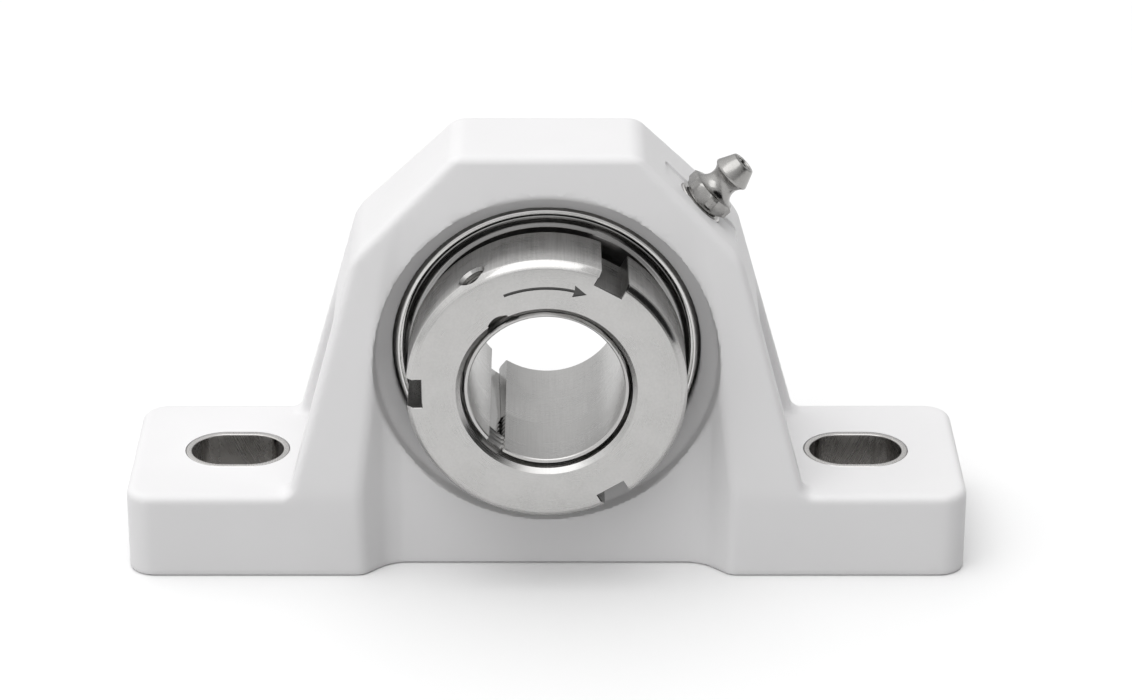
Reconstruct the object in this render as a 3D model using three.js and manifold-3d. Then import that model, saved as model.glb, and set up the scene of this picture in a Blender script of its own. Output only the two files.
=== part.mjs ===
// A two-bolt pillow block bearing: a moulded polymer housing on two slotted feet holds a self-aligning ball
// bearing insert, which a split tapered sleeve and a lock nut clamp on a shaft.
// Millimetres, +Z up. X runs along the base, the shaft axis runs along Y, and the lock nut faces -Y.
// The origin is the middle of the base, on the surface that the block is bolted to.

import * as THREE from "three";
import { mergeVertices } from "three/addons/utils/BufferGeometryUtils.js";
import Module from "manifold-3d";

const wasm = await Module();
wasm.setup();

// ---------------------------------------------------------------- driving dimensions: housing
const shaftHeight = 36.5; // base to shaft axis
const baseLength = 140;
const baseDepth = 36.7; // along the shaft, over the feet
const footHeight = 14.6;
const footCornerRadius = 4.5;
const crownRise = 35; // shaft axis to the flat top
const chamferReach = 35.35; // shaft axis to each 45 degree shoulder face
const legFootHalfWidth = 42.8; // leg edge where it meets the foot
const legLean = 0.273; // sideways run of the leg edge for each unit of height
const faceLean = 0.157; // front and rear faces lean in by this for each unit of height
const sidePocketWallX = 35.6; // upright web between the front and rear flanges of each leg
const flangeThickness = 4.3;
const frontPocketHalfWidth = 25.9; // floor of the pocket under the bearing
const frontPocketFloor = 13.7; // shaft-wise distance from the middle to that floor, at the base
const frontPocketLean = 0.034;

// ---------------------------------------------------------------- driving dimensions: bearing seat
const insertRadius = 26; // spherical outside of the outer ring
const outerRingWidth = 15;
const seatGap = 0.2;
const seatReliefRadial = 0.4; // the seat stops, at an upright wall, this much short of the insert's radius
const throatOverSeat = 2.3; // the recess is this much outside the insert's radius at the lead-in cone
const recessThroatDepth = 10.5; // shaft-wise distance of that circle from the middle
const recessFlare = 0.05; // the recess wall opens by this for each unit outwards
const loadingSlotGap = 0.3;

// ------------------------------------------------------------ driving dimensions: bolt slots and grease port
const boltSpacing = 105;
const boltSlotLength = 15.6;
const boltSlotWidth = 11.4;
const bushWall = 1;
const bushGap = 0.1;
const greasePortY = -2.4;
const portOffset = 0.7; // the port's axis misses the shaft axis by this, on the foot's side
const portInsertRadius = 4.3;
const portSill = 1.75; // material left between the threaded insert and the seat
const portBore = 3.3; // radius inside the threaded insert
const portPadLength = 17;
const portPadWidth = 6.4;
const portPadDepth = 0.4;
const portPadY = -2.4;
const greaseWayRadius = 1.3;

// ---------------------------------------------------------------- driving dimensions: bearing insert
const boreRadius = 12.7;
const ballRadius = 3.95;
const ballCount = 9;
const pitchRadius = 19.5;
const raceGap = 0.06;
const innerShoulder = 1.91; // height of the inner ring's lands over the raceway floor
const outerShoulder = 1.31;
const innerRingFront = 16.2; // distance ahead of the middle
const innerRingRear = 10;
const ringRim = 0.6; // thickness of the outer ring's edge around the flinger
const flingerGap = 0.6; // between the flinger and that edge
const flingerThickness = 0.7;
const flingerFromSeal = 0.65;
const flingerSeatGap = 0.03; // to the inner ring that carries it
const sealSeatStep = 1; // the seal seats this much inside the flinger's recess
const sealShellThickness = 0.5;
const sealFromCage = 0.35;
const sealLipWidth = 0.95;
const cageWall = 2.8;
const cageWeb = 0.95; // cage thickness behind the balls
const cageFront = 1.8;
const cagePocketGap = 0.2;
const smallGap = 0.1;

// ---------------------------------------------------------------- driving dimensions: sleeve and lock nut
const sleeveFront = 22.8;
const sleeveRear = 12.2;
const sleeveThreadRadius = 13.9;
const sleeveThreadEnd = 9; // distance ahead of the middle where the thread stops and the taper starts
const sleeveTaper = 1 / 24; // radius gained for each unit towards the rear
const taperGap = 0.06;
const slitWidth = 3.3;
const slitAngle = -130;
const threadGap = 0.2;
const nutRadius = 22.85;
const nutFront = 24.1;
const nutRear = 11.2;
const nutChamfer = 1;
const nutSwingGap = 3; // the least room around the nut, for the swivel
const nutCounterboreDepth = 5.5;
const nutOverRingGap = 0.5;
const spannerSlotWidth = 4.9;
const spannerSlotDepth = 2.6;
const spannerSlotAngles = [61, 181, 301];
const retainerMiddle = 13.9; // distance of the snap ring ahead of the middle
const retainerThickness = 0.9;
const retainerBite = 0.7; // depth of the snap ring in the inner ring, and in the nut
const retainerOpening = 3; // between the snap ring's ends
const setScrewRadius = 1.85;
const setScrewGap = 0.15;
const setScrewAngle = 122;
const setScrewBehindFace = 2.8;
const setScrewLength = 6.2;
const setScrewSunk = 1.2;
const setScrewSocketRadius = 1;
const setScrewSocketDepth = 1.8;
const pinRadius = 1.5;
const pinInRing = 1.2;
const pinProud = 1.5;
const pinGap = 0.2;
const swivelDegrees = 2;

// ---------------------------------------------------------------- driving dimensions: grease fitting
const hexAcrossFlats = 7.94;
const hexHeight = 2.3;
const hexStandOff = 0.65;
const fittingHeight = 9.6;
const fittingHeadRadius = 3.3;
const fittingWaistRadius = 2.45;
const fittingTipRadius = 2;
const fittingShankRadius = 3.1;
const fittingShankShort = 1.9; // the shank stops this much above the bottom of the threaded insert
const fittingCollarRadius = 3.6; // under and through the hexagon
const fittingHeadHeight = 3.2; // from the underside of the head to the tip
const fittingHeadBrim = 0.5; // height of the head's widest part
const neckFlare = [2.9, 0.5]; // radius and height of the neck just over the hexagon
const waistHeight = 1.7; // waist over the hexagon
const ballSeatDepth = 1.6; // check ball's middle under the tip
const checkBallRadius = 1;
const checkHoleRadius = 0.7;
const springWire = 0.16;
const springTurns = 4;
const springRest = 3; // the spring's foot over the end of the shank
const greaseGrooveHalf = 0.7; // half the width of the groove round the outer ring
const greaseGrooveDepth = 0.9;
const ringGreaseHole = 0.6; // radius

const RING_SIDES = 36; // sides of every turned piece, so that neighbours keep the same flats
const SEAT_SIDES = 60;
const SMALL_SIDES = 18;
const PIN_SIDES = 14;
const REACH = 200; // longer than the whole block, for cutters

// ---------------------------------------------------------------- helpers: shapes to solids

// Shared corners are merged, slivers with two equal corners are dropped, and the faces are turned outwards.
function closedMesh(geometry) {
  const bare = geometry.clone();
  for (const name of Object.keys(bare.attributes)) {
    if (name !== "position") bare.deleteAttribute(name);
  }
  const merged = mergeVertices(bare, 1e-4);
  const at = merged.getAttribute("position");
  const corners = [];
  const index = merged.index.array;
  let volume = 0;
  const [a, b, c] = [new THREE.Vector3(), new THREE.Vector3(), new THREE.Vector3()];
  for (let i = 0; i < index.length; i += 3) {
    const [i0, i1, i2] = [index[i], index[i + 1], index[i + 2]];
    if (i0 === i1 || i1 === i2 || i2 === i0) continue;
    corners.push(i0, i1, i2);
    b.fromBufferAttribute(at, i1).cross(c.fromBufferAttribute(at, i2));
    volume += a.fromBufferAttribute(at, i0).dot(b);
  }
  if (volume < 0) corners.reverse();
  return { vertices: at.array, corners };
}

function solid(geometry) {
  const { vertices, corners } = closedMesh(geometry);
  return new wasm.Manifold(
    new wasm.Mesh({
      numProp: 3,
      vertProperties: new Float32Array(vertices),
      triVerts: new Uint32Array(corners),
    }),
  );
}

function geometryOf(body) {
  const mesh = body.getMesh();
  const geometry = new THREE.BufferGeometry();
  geometry.setAttribute("position", new THREE.BufferAttribute(new Float32Array(mesh.vertProperties), 3));
  geometry.setIndex(new THREE.BufferAttribute(new Uint32Array(mesh.triVerts), 1));
  geometry.computeVertexNormals();
  return geometry;
}

// A closed outline of [radius, y] corners turned about the shaft axis.
function turned(outline, sides = RING_SIDES) {
  const closed = [...outline, outline[0]].map(([radius, y]) => new THREE.Vector2(radius, y));
  return new THREE.LatheGeometry(closed, sides).translate(0, 0, shaftHeight);
}

// A cutter or rod whose axis is the shaft axis: a closed outline that starts and ends on the axis.
function turnedSolid(outline, sides = RING_SIDES) {
  const points = outline.map(([radius, y]) => new THREE.Vector2(radius, y));
  return solid(new THREE.LatheGeometry(points, sides).translate(0, 0, shaftHeight));
}

// A shape drawn in X and Z, pushed along Y from `from` to `to`.
function alongY(shape, from, to, curveSegments = 8) {
  const options = { depth: to - from, bevelEnabled: false, curveSegments };
  const geometry = new THREE.ExtrudeGeometry(shape, options);
  return geometry.rotateX(Math.PI / 2).translate(0, to, 0);
}

// A shape drawn in X and Y, pushed along Z.
function alongZ(shape, from, to, curveSegments = 8) {
  const options = { depth: to - from, bevelEnabled: false, curveSegments };
  const geometry = new THREE.ExtrudeGeometry(shape, options);
  return geometry.translate(0, 0, from);
}

// A shape drawn in Y and Z, pushed along X from -REACH to REACH.
function acrossX(shape) {
  const geometry = new THREE.ExtrudeGeometry(shape, { depth: 2 * REACH, bevelEnabled: false });
  return geometry.rotateX(Math.PI / 2).rotateZ(Math.PI / 2).translate(-REACH, 0, 0);
}

function polygon(points) {
  return new THREE.Shape(points.map(([x, y]) => new THREE.Vector2(x, y)));
}

function box(low, high) {
  const size = high.map((value, i) => value - low[i]);
  return new THREE.BoxGeometry(...size).translate(...high.map((value, i) => (value + low[i]) / 2));
}

// A slot outline with round ends: `length` over the ends along X, `width` along Y.
function obround(length, width) {
  const radius = width / 2;
  const straight = length / 2 - radius;
  const shape = new THREE.Shape();
  shape.absarc(straight, 0, radius, -Math.PI / 2, Math.PI / 2, false);
  shape.absarc(-straight, 0, radius, Math.PI / 2, (3 * Math.PI) / 2, false);
  return shape;
}

// Turns a geometry built on the +X side of the shaft to an angle, seen from the nut side.
function atShaftAngle(geometry, degrees) {
  return geometry
    .translate(0, 0, -shaftHeight)
    .rotateY(-THREE.MathUtils.degToRad(degrees))
    .translate(0, 0, shaftHeight);
}

// Points of an arc in a [radius, y] outline, about a centre on the same plane.
function arc(centreRadius, centreY, radius, fromDegrees, toDegrees, steps) {
  return Array.from({ length: steps + 1 }, (_, i) => {
    const angle = THREE.MathUtils.degToRad(fromDegrees + ((toDegrees - fromDegrees) * i) / steps);
    return [centreRadius + radius * Math.cos(angle), centreY + radius * Math.sin(angle)];
  });
}

// A hole's corners are set out so that its flats, not its corners, lie at the wanted radius.
const clearOfFlats = (radius, sides = RING_SIDES) => radius / Math.cos(Math.PI / sides);

const degrees = THREE.MathUtils.radToDeg;

// ---------------------------------------------------------------- materials, one for each finish

const finish = {
  polymer: { color: 0xf1f1f0, roughness: 0.45, metalness: 0 },
  stainless: { color: 0xb9b8b4, roughness: 0.32, metalness: 1 },
  brightSteel: { color: 0xd6d6d4, roughness: 0.12, metalness: 1 },
  ringSteel: { color: 0xc4c4c2, roughness: 0.22, metalness: 1 },
  springSteel: { color: 0x9a9a98, roughness: 0.35, metalness: 1 },
  rubber: { color: 0x1d1d1f, roughness: 0.7, metalness: 0 },
  nylon: { color: 0xe2dcc6, roughness: 0.55, metalness: 0 },
};

const block = new THREE.Group();

function add(name, shape, look) {
  const geometry = shape instanceof THREE.BufferGeometry ? shape : geometryOf(shape);
  const mesh = new THREE.Mesh(geometry, new THREE.MeshStandardMaterial(finish[look]));
  mesh.name = name;
  block.add(mesh);
}

// ---------------------------------------------------------------- sizes that follow from the driving ones

const ringHalf = outerRingWidth / 2;
const raceRadius = ballRadius + raceGap;
const innerLandRadius = pitchRadius - raceRadius + innerShoulder;
const outerLandRadius = pitchRadius + raceRadius - outerShoulder;
const flingerRecessRadius = Math.sqrt(insertRadius ** 2 - ringHalf ** 2) - ringRim;
const flingerRadius = flingerRecessRadius - flingerGap;
const sealSeatRadius = flingerRecessRadius - sealSeatStep;
const cageBack = ballRadius + cageWeb;
const sealShellNear = cageBack + sealFromCage; // distance of the shell's inner side from the middle
const sealFar = sealShellNear + sealShellThickness;
const flingerNear = sealFar + flingerFromSeal;
const recessThroatRadius = Math.max(insertRadius + throatOverSeat, nutRadius + nutSwingGap);
const crownHeight = shaftHeight + crownRise;

// ---------------------------------------------------------------- housing

const halfDepth = baseDepth / 2;
const faceAt = (z) => halfDepth - faceLean * Math.max(0, z - footHeight);
const legEdgeAt = (z) => legFootHalfWidth - legLean * (z - footHeight);
const chamferSum = shaftHeight + chamferReach * Math.SQRT2; // x + z along the shoulder face
const shoulderX = (legFootHalfWidth - legLean * (chamferSum - footHeight)) / (1 - legLean);
const crownX = chamferSum - crownHeight;
const portAngle = 45;
const portAxisHeight = shaftHeight - portOffset; // before the port is turned to its angle

// The housing seen from the front: feet, leaning legs, 45 degree shoulders and a flat crown.
function frontOutline() {
  const right = [
    [baseLength / 2, 0],
    [baseLength / 2, footHeight],
    [legFootHalfWidth, footHeight],
    [shoulderX, chamferSum - shoulderX],
    [crownX, crownHeight],
  ];
  const left = right.map(([x, z]) => [-x, z]).reverse();
  return polygon([...right, ...left]);
}

// The housing seen from the side: upright foot faces, then faces that lean in to the crown.
function sideOutline() {
  const front = [
    [-halfDepth, 0],
    [-halfDepth, footHeight],
    [-faceAt(crownHeight), crownHeight],
  ];
  const rear = front.map(([y, z]) => [-y, z]).reverse();
  return polygon([...front, ...rear].reverse());
}

function planOutline() {
  const [x, y, r] = [baseLength / 2, halfDepth, footCornerRadius];
  const shape = new THREE.Shape();
  shape.absarc(x - r, y - r, r, 0, Math.PI / 2, false);
  shape.absarc(-x + r, y - r, r, Math.PI / 2, Math.PI, false);
  shape.absarc(-x + r, -y + r, r, Math.PI, 1.5 * Math.PI, false);
  shape.absarc(x - r, -y + r, r, 1.5 * Math.PI, 2 * Math.PI, false);
  return shape;
}

// The pocket below the bearing on one face: a leaning floor between two 45 degree side facets.
function frontPocket(side) {
  const out = REACH / 4;
  const plan = polygon([
    [-frontPocketHalfWidth, -frontPocketFloor],
    [-frontPocketHalfWidth - out, -frontPocketFloor - out],
    [frontPocketHalfWidth + out, -frontPocketFloor - out],
    [frontPocketHalfWidth, -frontPocketFloor],
  ]);
  const geometry = alongZ(plan, -1, crownHeight + 1);
  const lean = new THREE.Matrix4().set(1, 0, 0, 0, 0, 1, frontPocketLean, 0, 0, 0, 1, 0, 0, 0, 0, 1);
  geometry.applyMatrix4(lean);
  return side < 0 ? geometry : geometry.rotateZ(Math.PI);
}

// The space between the two flanges of one leg, above the foot, out from the upright web.
function sidePocket(side) {
  const inner = [
    [-faceAt(footHeight) + flangeThickness, footHeight],
    [faceAt(footHeight) - flangeThickness, footHeight],
    [faceAt(crownHeight) - flangeThickness, crownHeight],
    [-faceAt(crownHeight) + flangeThickness, crownHeight],
  ];
  const x = [sidePocketWallX, REACH].map((value) => value * side);
  const slab = solid(box([Math.min(...x), -REACH, footHeight], [Math.max(...x), REACH, REACH]));
  return solid(acrossX(polygon(inner))).intersect(slab);
}

const seatRadius = clearOfFlats(insertRadius + seatGap, SEAT_SIDES);
const seatWallRadius = insertRadius - seatReliefRadial;

// Front recess, 45 degree lead-in cone, upright wall, spherical seat, and the same mirrored to the rear.
function seatCutter() {
  const mouthY = halfDepth + 5;
  const mouth = recessThroatRadius + recessFlare * (mouthY - recessThroatDepth);
  const edge = degrees(Math.acos(seatWallRadius / seatRadius));
  const coneY = recessThroatDepth - (recessThroatRadius - seatWallRadius);
  return turnedSolid(
    [
      [0, -mouthY],
      [mouth, -mouthY],
      [recessThroatRadius, -recessThroatDepth],
      [seatWallRadius, -coneY],
      ...arc(0, 0, seatRadius, -edge, edge, 6),
      [seatWallRadius, coneY],
      [recessThroatRadius, recessThroatDepth],
      [mouth, mouthY],
      [0, mouthY],
    ],
    SEAT_SIDES,
  );
}

// The rear slot that the outer ring goes in through, turned edge-on: the ring's own side view.
function loadingSlot() {
  const radius = insertRadius + loadingSlotGap;
  const half = outerRingWidth / 2 + loadingSlotGap;
  const end = Math.asin(half / radius);
  const shape = new THREE.Shape();
  shape.absarc(0, 0, radius, -end, end, false);
  shape.absarc(0, 0, radius, Math.PI - end, Math.PI + end, false);
  return alongY(shape, 0, halfDepth + 5).translate(0, 0, shaftHeight);
}

// A rod on the grease port's axis, from one distance to another from the shaft axis.
function portRod(radius, from, to, sides = SMALL_SIDES) {
  const rod = new THREE.CylinderGeometry(radius, radius, to - from, sides);
  rod.rotateZ(-Math.PI / 2).translate((from + to) / 2, greasePortY, portAxisHeight);
  return atShaftAngle(rod, portAngle);
}

function portPad() {
  const pad = box(
    [chamferReach - portPadDepth, portPadY - portPadWidth / 2, portAxisHeight - portPadLength / 2],
    [chamferReach + 5, portPadY + portPadWidth / 2, portAxisHeight + portPadLength / 2],
  );
  return atShaftAngle(pad, portAngle);
}

const portHoleRadius = clearOfFlats(portInsertRadius + bushGap, SMALL_SIDES);
const insertBottom = insertRadius + seatGap + portSill;
const pinTop = insertRadius + pinProud;

// The slot that lets the anti-rotation pin swing with the ring while it stops the ring from turning.
function pinSlot() {
  const swing = pinTop * Math.sin(THREE.MathUtils.degToRad(swivelDegrees));
  const half = pinRadius + pinGap;
  const shape = obround(2 * (half + swing), 2 * half);
  const slot = alongZ(shape, shaftHeight + insertRadius - 4, shaftHeight + pinTop + 3 * pinGap, 6);
  return slot.rotateZ(Math.PI / 2);
}

const boltSlotOutside = [
  boltSlotLength + 2 * (bushWall + bushGap),
  boltSlotWidth + 2 * (bushWall + bushGap),
];

function housing() {
  let body = solid(alongY(frontOutline(), -REACH / 4, REACH / 4))
    .intersect(solid(acrossX(sideOutline())))
    .intersect(solid(alongZ(planOutline(), -1, crownHeight + 1, 5)));
  for (const side of [-1, 1]) {
    body = body.subtract(solid(frontPocket(side)));
    body = body.subtract(sidePocket(side));
    const slot = alongZ(obround(...boltSlotOutside), -1, footHeight + 1);
    body = body.subtract(solid(slot.translate((side * boltSpacing) / 2, 0, 0)));
  }
  return body
    .subtract(seatCutter())
    .subtract(solid(loadingSlot()))
    .subtract(solid(portPad()))
    .subtract(solid(portRod(portHoleRadius, insertBottom, REACH / 4)))
    .subtract(solid(portRod(greaseWayRadius, insertRadius - 4, insertBottom + 1, 10)))
    .subtract(solid(pinSlot()));
}

add("housing", housing(), "polymer");

// ---------------------------------------------------------------- bolt bushes

function boltBush(side) {
  const shape = obround(boltSlotLength + 2 * bushWall, boltSlotWidth + 2 * bushWall);
  shape.holes.push(obround(boltSlotLength, boltSlotWidth));
  return solid(alongZ(shape, 0, footHeight).translate((side * boltSpacing) / 2, 0, 0));
}

add("bolt_bush_left", boltBush(-1), "stainless");
add("bolt_bush_right", boltBush(1), "stainless");

// ---------------------------------------------------------------- grease port, fitting and its check valve

// A closed outline of [radius, distance from the shaft axis] corners turned about the port's axis.
function turnedOnPort(outline, sides = SMALL_SIDES) {
  const closed = [...outline, outline[0]].map(([radius, along]) => new THREE.Vector2(radius, along));
  const piece = new THREE.LatheGeometry(closed, sides).rotateZ(-Math.PI / 2);
  return atShaftAngle(piece.translate(0, greasePortY, portAxisHeight), portAngle);
}

const insertTop = chamferReach;
add(
  "grease_port_insert",
  turnedOnPort([
    [portBore, insertBottom + bushGap],
    [portInsertRadius, insertBottom + bushGap],
    [portInsertRadius, insertTop],
    [portBore, insertTop],
  ]),
  "stainless",
);

const hexBottom = chamferReach + hexStandOff;
const hexTop = hexBottom + hexHeight;
const fittingTop = chamferReach + fittingHeight;
const headBottom = fittingTop - fittingHeadHeight;
const ballSeat = fittingTop - ballSeatDepth;
const shankEnd = insertBottom + fittingShankShort;
const ballChamber = checkBallRadius + smallGap;

function greaseFitting() {
  const bore = clearOfFlats(ballChamber, SMALL_SIDES);
  const body = turnedOnPort([
    [bore, shankEnd],
    [fittingShankRadius, shankEnd],
    [fittingShankRadius, hexBottom + hexHeight / 6],
    [fittingCollarRadius, hexBottom + hexHeight / 6],
    [fittingCollarRadius, hexTop],
    [neckFlare[0], hexTop + neckFlare[1]],
    [fittingWaistRadius, hexTop + waistHeight],
    [fittingWaistRadius, headBottom - fittingHeadBrim],
    [fittingHeadRadius, headBottom + fittingHeadBrim / 2],
    [fittingHeadRadius, headBottom + fittingHeadBrim * 1.5],
    [fittingTipRadius, fittingTop],
    [checkHoleRadius, fittingTop],
    [checkHoleRadius, ballSeat + ballSeatDepth / 2],
    [bore, ballSeat + ballSeatDepth / 5],
  ]);
  const hexRadius = hexAcrossFlats / 2 / Math.cos(Math.PI / 6);
  const hex = portRod(hexRadius, hexBottom, hexTop, 6);
  const throat = portRod(fittingShankRadius - 0.5, hexBottom - 1, hexTop + 1);
  return solid(body).add(solid(hex).subtract(solid(throat)));
}

add("grease_fitting_body", greaseFitting(), "stainless");

const checkBall = new THREE.IcosahedronGeometry(checkBallRadius, 1)
  .translate(ballSeat, greasePortY, portAxisHeight);
add("grease_check_ball", solid(atShaftAngle(checkBall, portAngle)), "brightSteel");

// The spring under the check ball: a helix about the port's axis.
class SpringLine extends THREE.Curve {
  getPoint(t, target = new THREE.Vector3()) {
    const turn = t * springTurns * 2 * Math.PI;
    const radius = checkBallRadius - springWire - smallGap;
    const top = ballSeat - checkBallRadius * 0.7 - springWire - smallGap;
    const bottom = shankEnd + springRest;
    const y = greasePortY + radius * Math.cos(turn);
    return target.set(top + (bottom - top) * t, y, radius * Math.sin(turn));
  }
}

function checkSpring() {
  const wire = new THREE.Shape().absarc(0, 0, springWire, 0, 2 * Math.PI, false);
  const coil = new THREE.ExtrudeGeometry(wire, {
    steps: springTurns * 9,
    curveSegments: 2,
    extrudePath: new SpringLine(),
    bevelEnabled: false,
  });
  return atShaftAngle(coil.translate(0, 0, portAxisHeight), portAngle);
}

add("grease_check_spring", solid(checkSpring()), "springSteel");

// ---------------------------------------------------------------- anti-rotation pin

const ringPinFloor = insertRadius - pinInRing;
const pin = new THREE.CylinderGeometry(pinRadius, pinRadius, pinTop - ringPinFloor - smallGap, PIN_SIDES)
  .rotateX(Math.PI / 2)
  .translate(0, 0, shaftHeight + (pinTop + ringPinFloor + smallGap) / 2);
add("anti_rotation_pin", solid(pin), "stainless");

// ---------------------------------------------------------------- outer ring

const outerRace = clearOfFlats(pitchRadius + raceRadius) - raceRadius; // centre of the outer raceway's arc
const landFromRace = clearOfFlats(outerLandRadius) - outerRace;
const outerRaceAngle = degrees(Math.acos(landFromRace / raceRadius));

function outerRing() {
  const edge = degrees(Math.asin(ringHalf / insertRadius));
  const grooveY = [greasePortY - greaseGrooveHalf, greasePortY + greaseGrooveHalf];
  const grooveFloor = insertRadius - greaseGrooveDepth;
  const grooveAngle = grooveY.map((y) => degrees(Math.asin(y / insertRadius)));
  const bore = [
    [clearOfFlats(flingerRecessRadius), ringHalf],
    [clearOfFlats(flingerRecessRadius), sealFar + smallGap],
    [clearOfFlats(sealSeatRadius), sealFar + smallGap],
    [clearOfFlats(sealSeatRadius), sealShellNear - smallGap],
    [clearOfFlats(outerLandRadius), sealShellNear - smallGap],
  ];
  const frontBore = bore.map(([radius, y]) => [radius, -y]).reverse();
  const ring = turned([
    ...arc(0, 0, insertRadius, -edge, grooveAngle[0], 3),
    [grooveFloor, grooveY[0]],
    [grooveFloor, grooveY[1]],
    ...arc(0, 0, insertRadius, grooveAngle[1], edge, 4),
    ...bore,
    ...arc(outerRace, 0, raceRadius, outerRaceAngle, -outerRaceAngle, 6),
    ...frontBore,
  ]);
  const pinHoleRadius = pinRadius + smallGap / 2;
  const pinHole = new THREE.CylinderGeometry(pinHoleRadius, pinHoleRadius, ballRadius, PIN_SIDES)
    .rotateX(Math.PI / 2)
    .translate(0, 0, shaftHeight + ringPinFloor + ballRadius / 2);
  return solid(ring)
    .subtract(solid(pinHole))
    .subtract(solid(portRod(ringGreaseHole, pitchRadius + ballRadius / 2, insertRadius, 8)));
}

add("outer_ring", outerRing(), "ringSteel");

// ---------------------------------------------------------------- inner ring

const sleeveTaperAt = (y) => sleeveThreadRadius + sleeveTaper * (y + sleeveThreadEnd);
const retainerNear = retainerMiddle - retainerThickness / 2 - smallGap;
const retainerFar = retainerMiddle + retainerThickness / 2 + smallGap;
const ringGroove = innerLandRadius - retainerBite - smallGap;
const innerRaceAngle = degrees(Math.acos((pitchRadius - innerLandRadius) / raceRadius));

function innerRing() {
  return turned([
    [innerLandRadius, innerRingRear],
    ...arc(pitchRadius, 0, raceRadius, 180 - innerRaceAngle, 180 + innerRaceAngle, 6),
    [innerLandRadius, -retainerNear],
    [ringGroove, -retainerNear],
    [ringGroove, -retainerFar],
    [innerLandRadius, -retainerFar],
    [innerLandRadius, -innerRingFront],
    [sleeveThreadRadius + 3 * threadGap, -innerRingFront],
    [sleeveThreadRadius + 3 * threadGap, -sleeveThreadEnd - 1],
    [sleeveTaperAt(-sleeveThreadEnd) + taperGap, -sleeveThreadEnd],
    [sleeveTaperAt(innerRingRear) + taperGap, innerRingRear],
  ]);
}

add("inner_ring", solid(innerRing()), "ringSteel");

// ---------------------------------------------------------------- balls and cage

const ballAngle = (i) => 90 + (360 / ballCount) * i;

function ballAt(i, radius, detail) {
  const ball = new THREE.IcosahedronGeometry(radius, detail).translate(pitchRadius, 0, shaftHeight);
  return solid(atShaftAngle(ball, ballAngle(i)));
}

for (let i = 0; i < ballCount; i += 1) {
  add(`ball_${i + 1}`, ballAt(i, ballRadius, 2), "brightSteel");
}

// A snap-in crown cage: a ring behind the balls whose fingers reach past their middles.
function ballCage() {
  const [inside, outside] = [pitchRadius - cageWall / 2, pitchRadius + cageWall / 2];
  let cage = solid(
    turned([
      [inside, -cageFront],
      [outside, -cageFront],
      [outside, cageBack],
      [inside, cageBack],
    ]),
  );
  for (let i = 0; i < ballCount; i += 1) {
    cage = cage.subtract(ballAt(i, ballRadius + cagePocketGap, 2));
  }
  return cage;
}

add("ball_cage", ballCage(), "nylon");

// ------------------------------------------------------------ seals and flingers, front (-Y) and rear (+Y)

const lipInside = clearOfFlats(innerLandRadius + smallGap);
const lipOutside = lipInside + sealLipWidth;
const shellInside = clearOfFlats(lipOutside);
const flingerInside = innerLandRadius + flingerSeatGap;

// A flat washer between two radii, on one side of the insert.
function washer(inside, outside, near, thickness, side) {
  const y = [near, near + thickness].map((value) => value * side);
  return solid(
    turned([
      [inside, y[0]],
      [outside, y[0]],
      [outside, y[1]],
      [inside, y[1]],
    ]),
  );
}

for (const [side, place] of [[-1, "front"], [1, "rear"]]) {
  const shell = washer(shellInside, sealSeatRadius, sealShellNear, sealShellThickness, side);
  add(`${place}_seal_shell`, shell, "rubber");
  const lip = washer(lipInside, lipOutside, sealShellNear, sealShellThickness, side);
  add(`${place}_seal_lip`, lip, "rubber");
  const flinger = washer(flingerInside, flingerRadius, flingerNear, flingerThickness, side);
  add(`${place}_flinger`, flinger, "stainless");
}

// ---------------------------------------------------------------- adapter sleeve

function adapterSleeve() {
  const body = turned([
    [boreRadius, -sleeveFront],
    [sleeveThreadRadius, -sleeveFront],
    [sleeveThreadRadius, -sleeveThreadEnd],
    [sleeveTaperAt(sleeveRear), sleeveRear],
    [boreRadius, sleeveRear],
  ]);
  const slit = box([0, -REACH, shaftHeight - slitWidth / 2], [REACH, REACH, shaftHeight + slitWidth / 2]);
  return solid(body).subtract(solid(atShaftAngle(slit, slitAngle)));
}

add("adapter_sleeve", adapterSleeve(), "stainless");

// ---------------------------------------------------------------- lock nut, its snap ring and set screw

const counterbore = clearOfFlats(innerLandRadius + nutOverRingGap);
const nutGroove = clearOfFlats(innerLandRadius + nutOverRingGap + retainerBite + 3 * smallGap);
const nutBore = clearOfFlats(sleeveThreadRadius + threadGap);
const nutShelf = nutRear + nutCounterboreDepth;
const setScrewY = -(nutFront - setScrewBehindFace);

// A rod across the nut at the set screw's place, from one distance to another from the shaft axis.
function setScrewRod(radius, from, to, sides) {
  const rod = new THREE.CylinderGeometry(radius, radius, to - from, sides);
  rod.rotateZ(-Math.PI / 2).translate((from + to) / 2, setScrewY, shaftHeight);
  return solid(atShaftAngle(rod, setScrewAngle));
}

function lockNut() {
  let nut = solid(
    turned([
      [nutRadius, -nutRear],
      [nutRadius, -nutFront + nutChamfer],
      [nutRadius - nutChamfer, -nutFront],
      [nutBore + nutChamfer / 2, -nutFront],
      [nutBore, -nutFront + nutChamfer / 2],
      [nutBore, -nutShelf],
      [counterbore, -nutShelf],
      [counterbore, -retainerFar],
      [nutGroove, -retainerFar],
      [nutGroove, -retainerNear],
      [counterbore, -retainerNear],
      [counterbore, -nutRear],
    ]),
  );
  for (const angle of spannerSlotAngles) {
    const slot = box(
      [nutRadius - spannerSlotDepth, -REACH, shaftHeight - spannerSlotWidth / 2],
      [REACH, REACH, shaftHeight + spannerSlotWidth / 2],
    );
    nut = nut.subtract(solid(atShaftAngle(slot, angle)));
  }
  const hole = setScrewRadius + setScrewGap;
  return nut.subtract(setScrewRod(hole, sleeveThreadRadius - 2, REACH / 4, 16));
}

add("lock_nut", lockNut(), "stainless");

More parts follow.
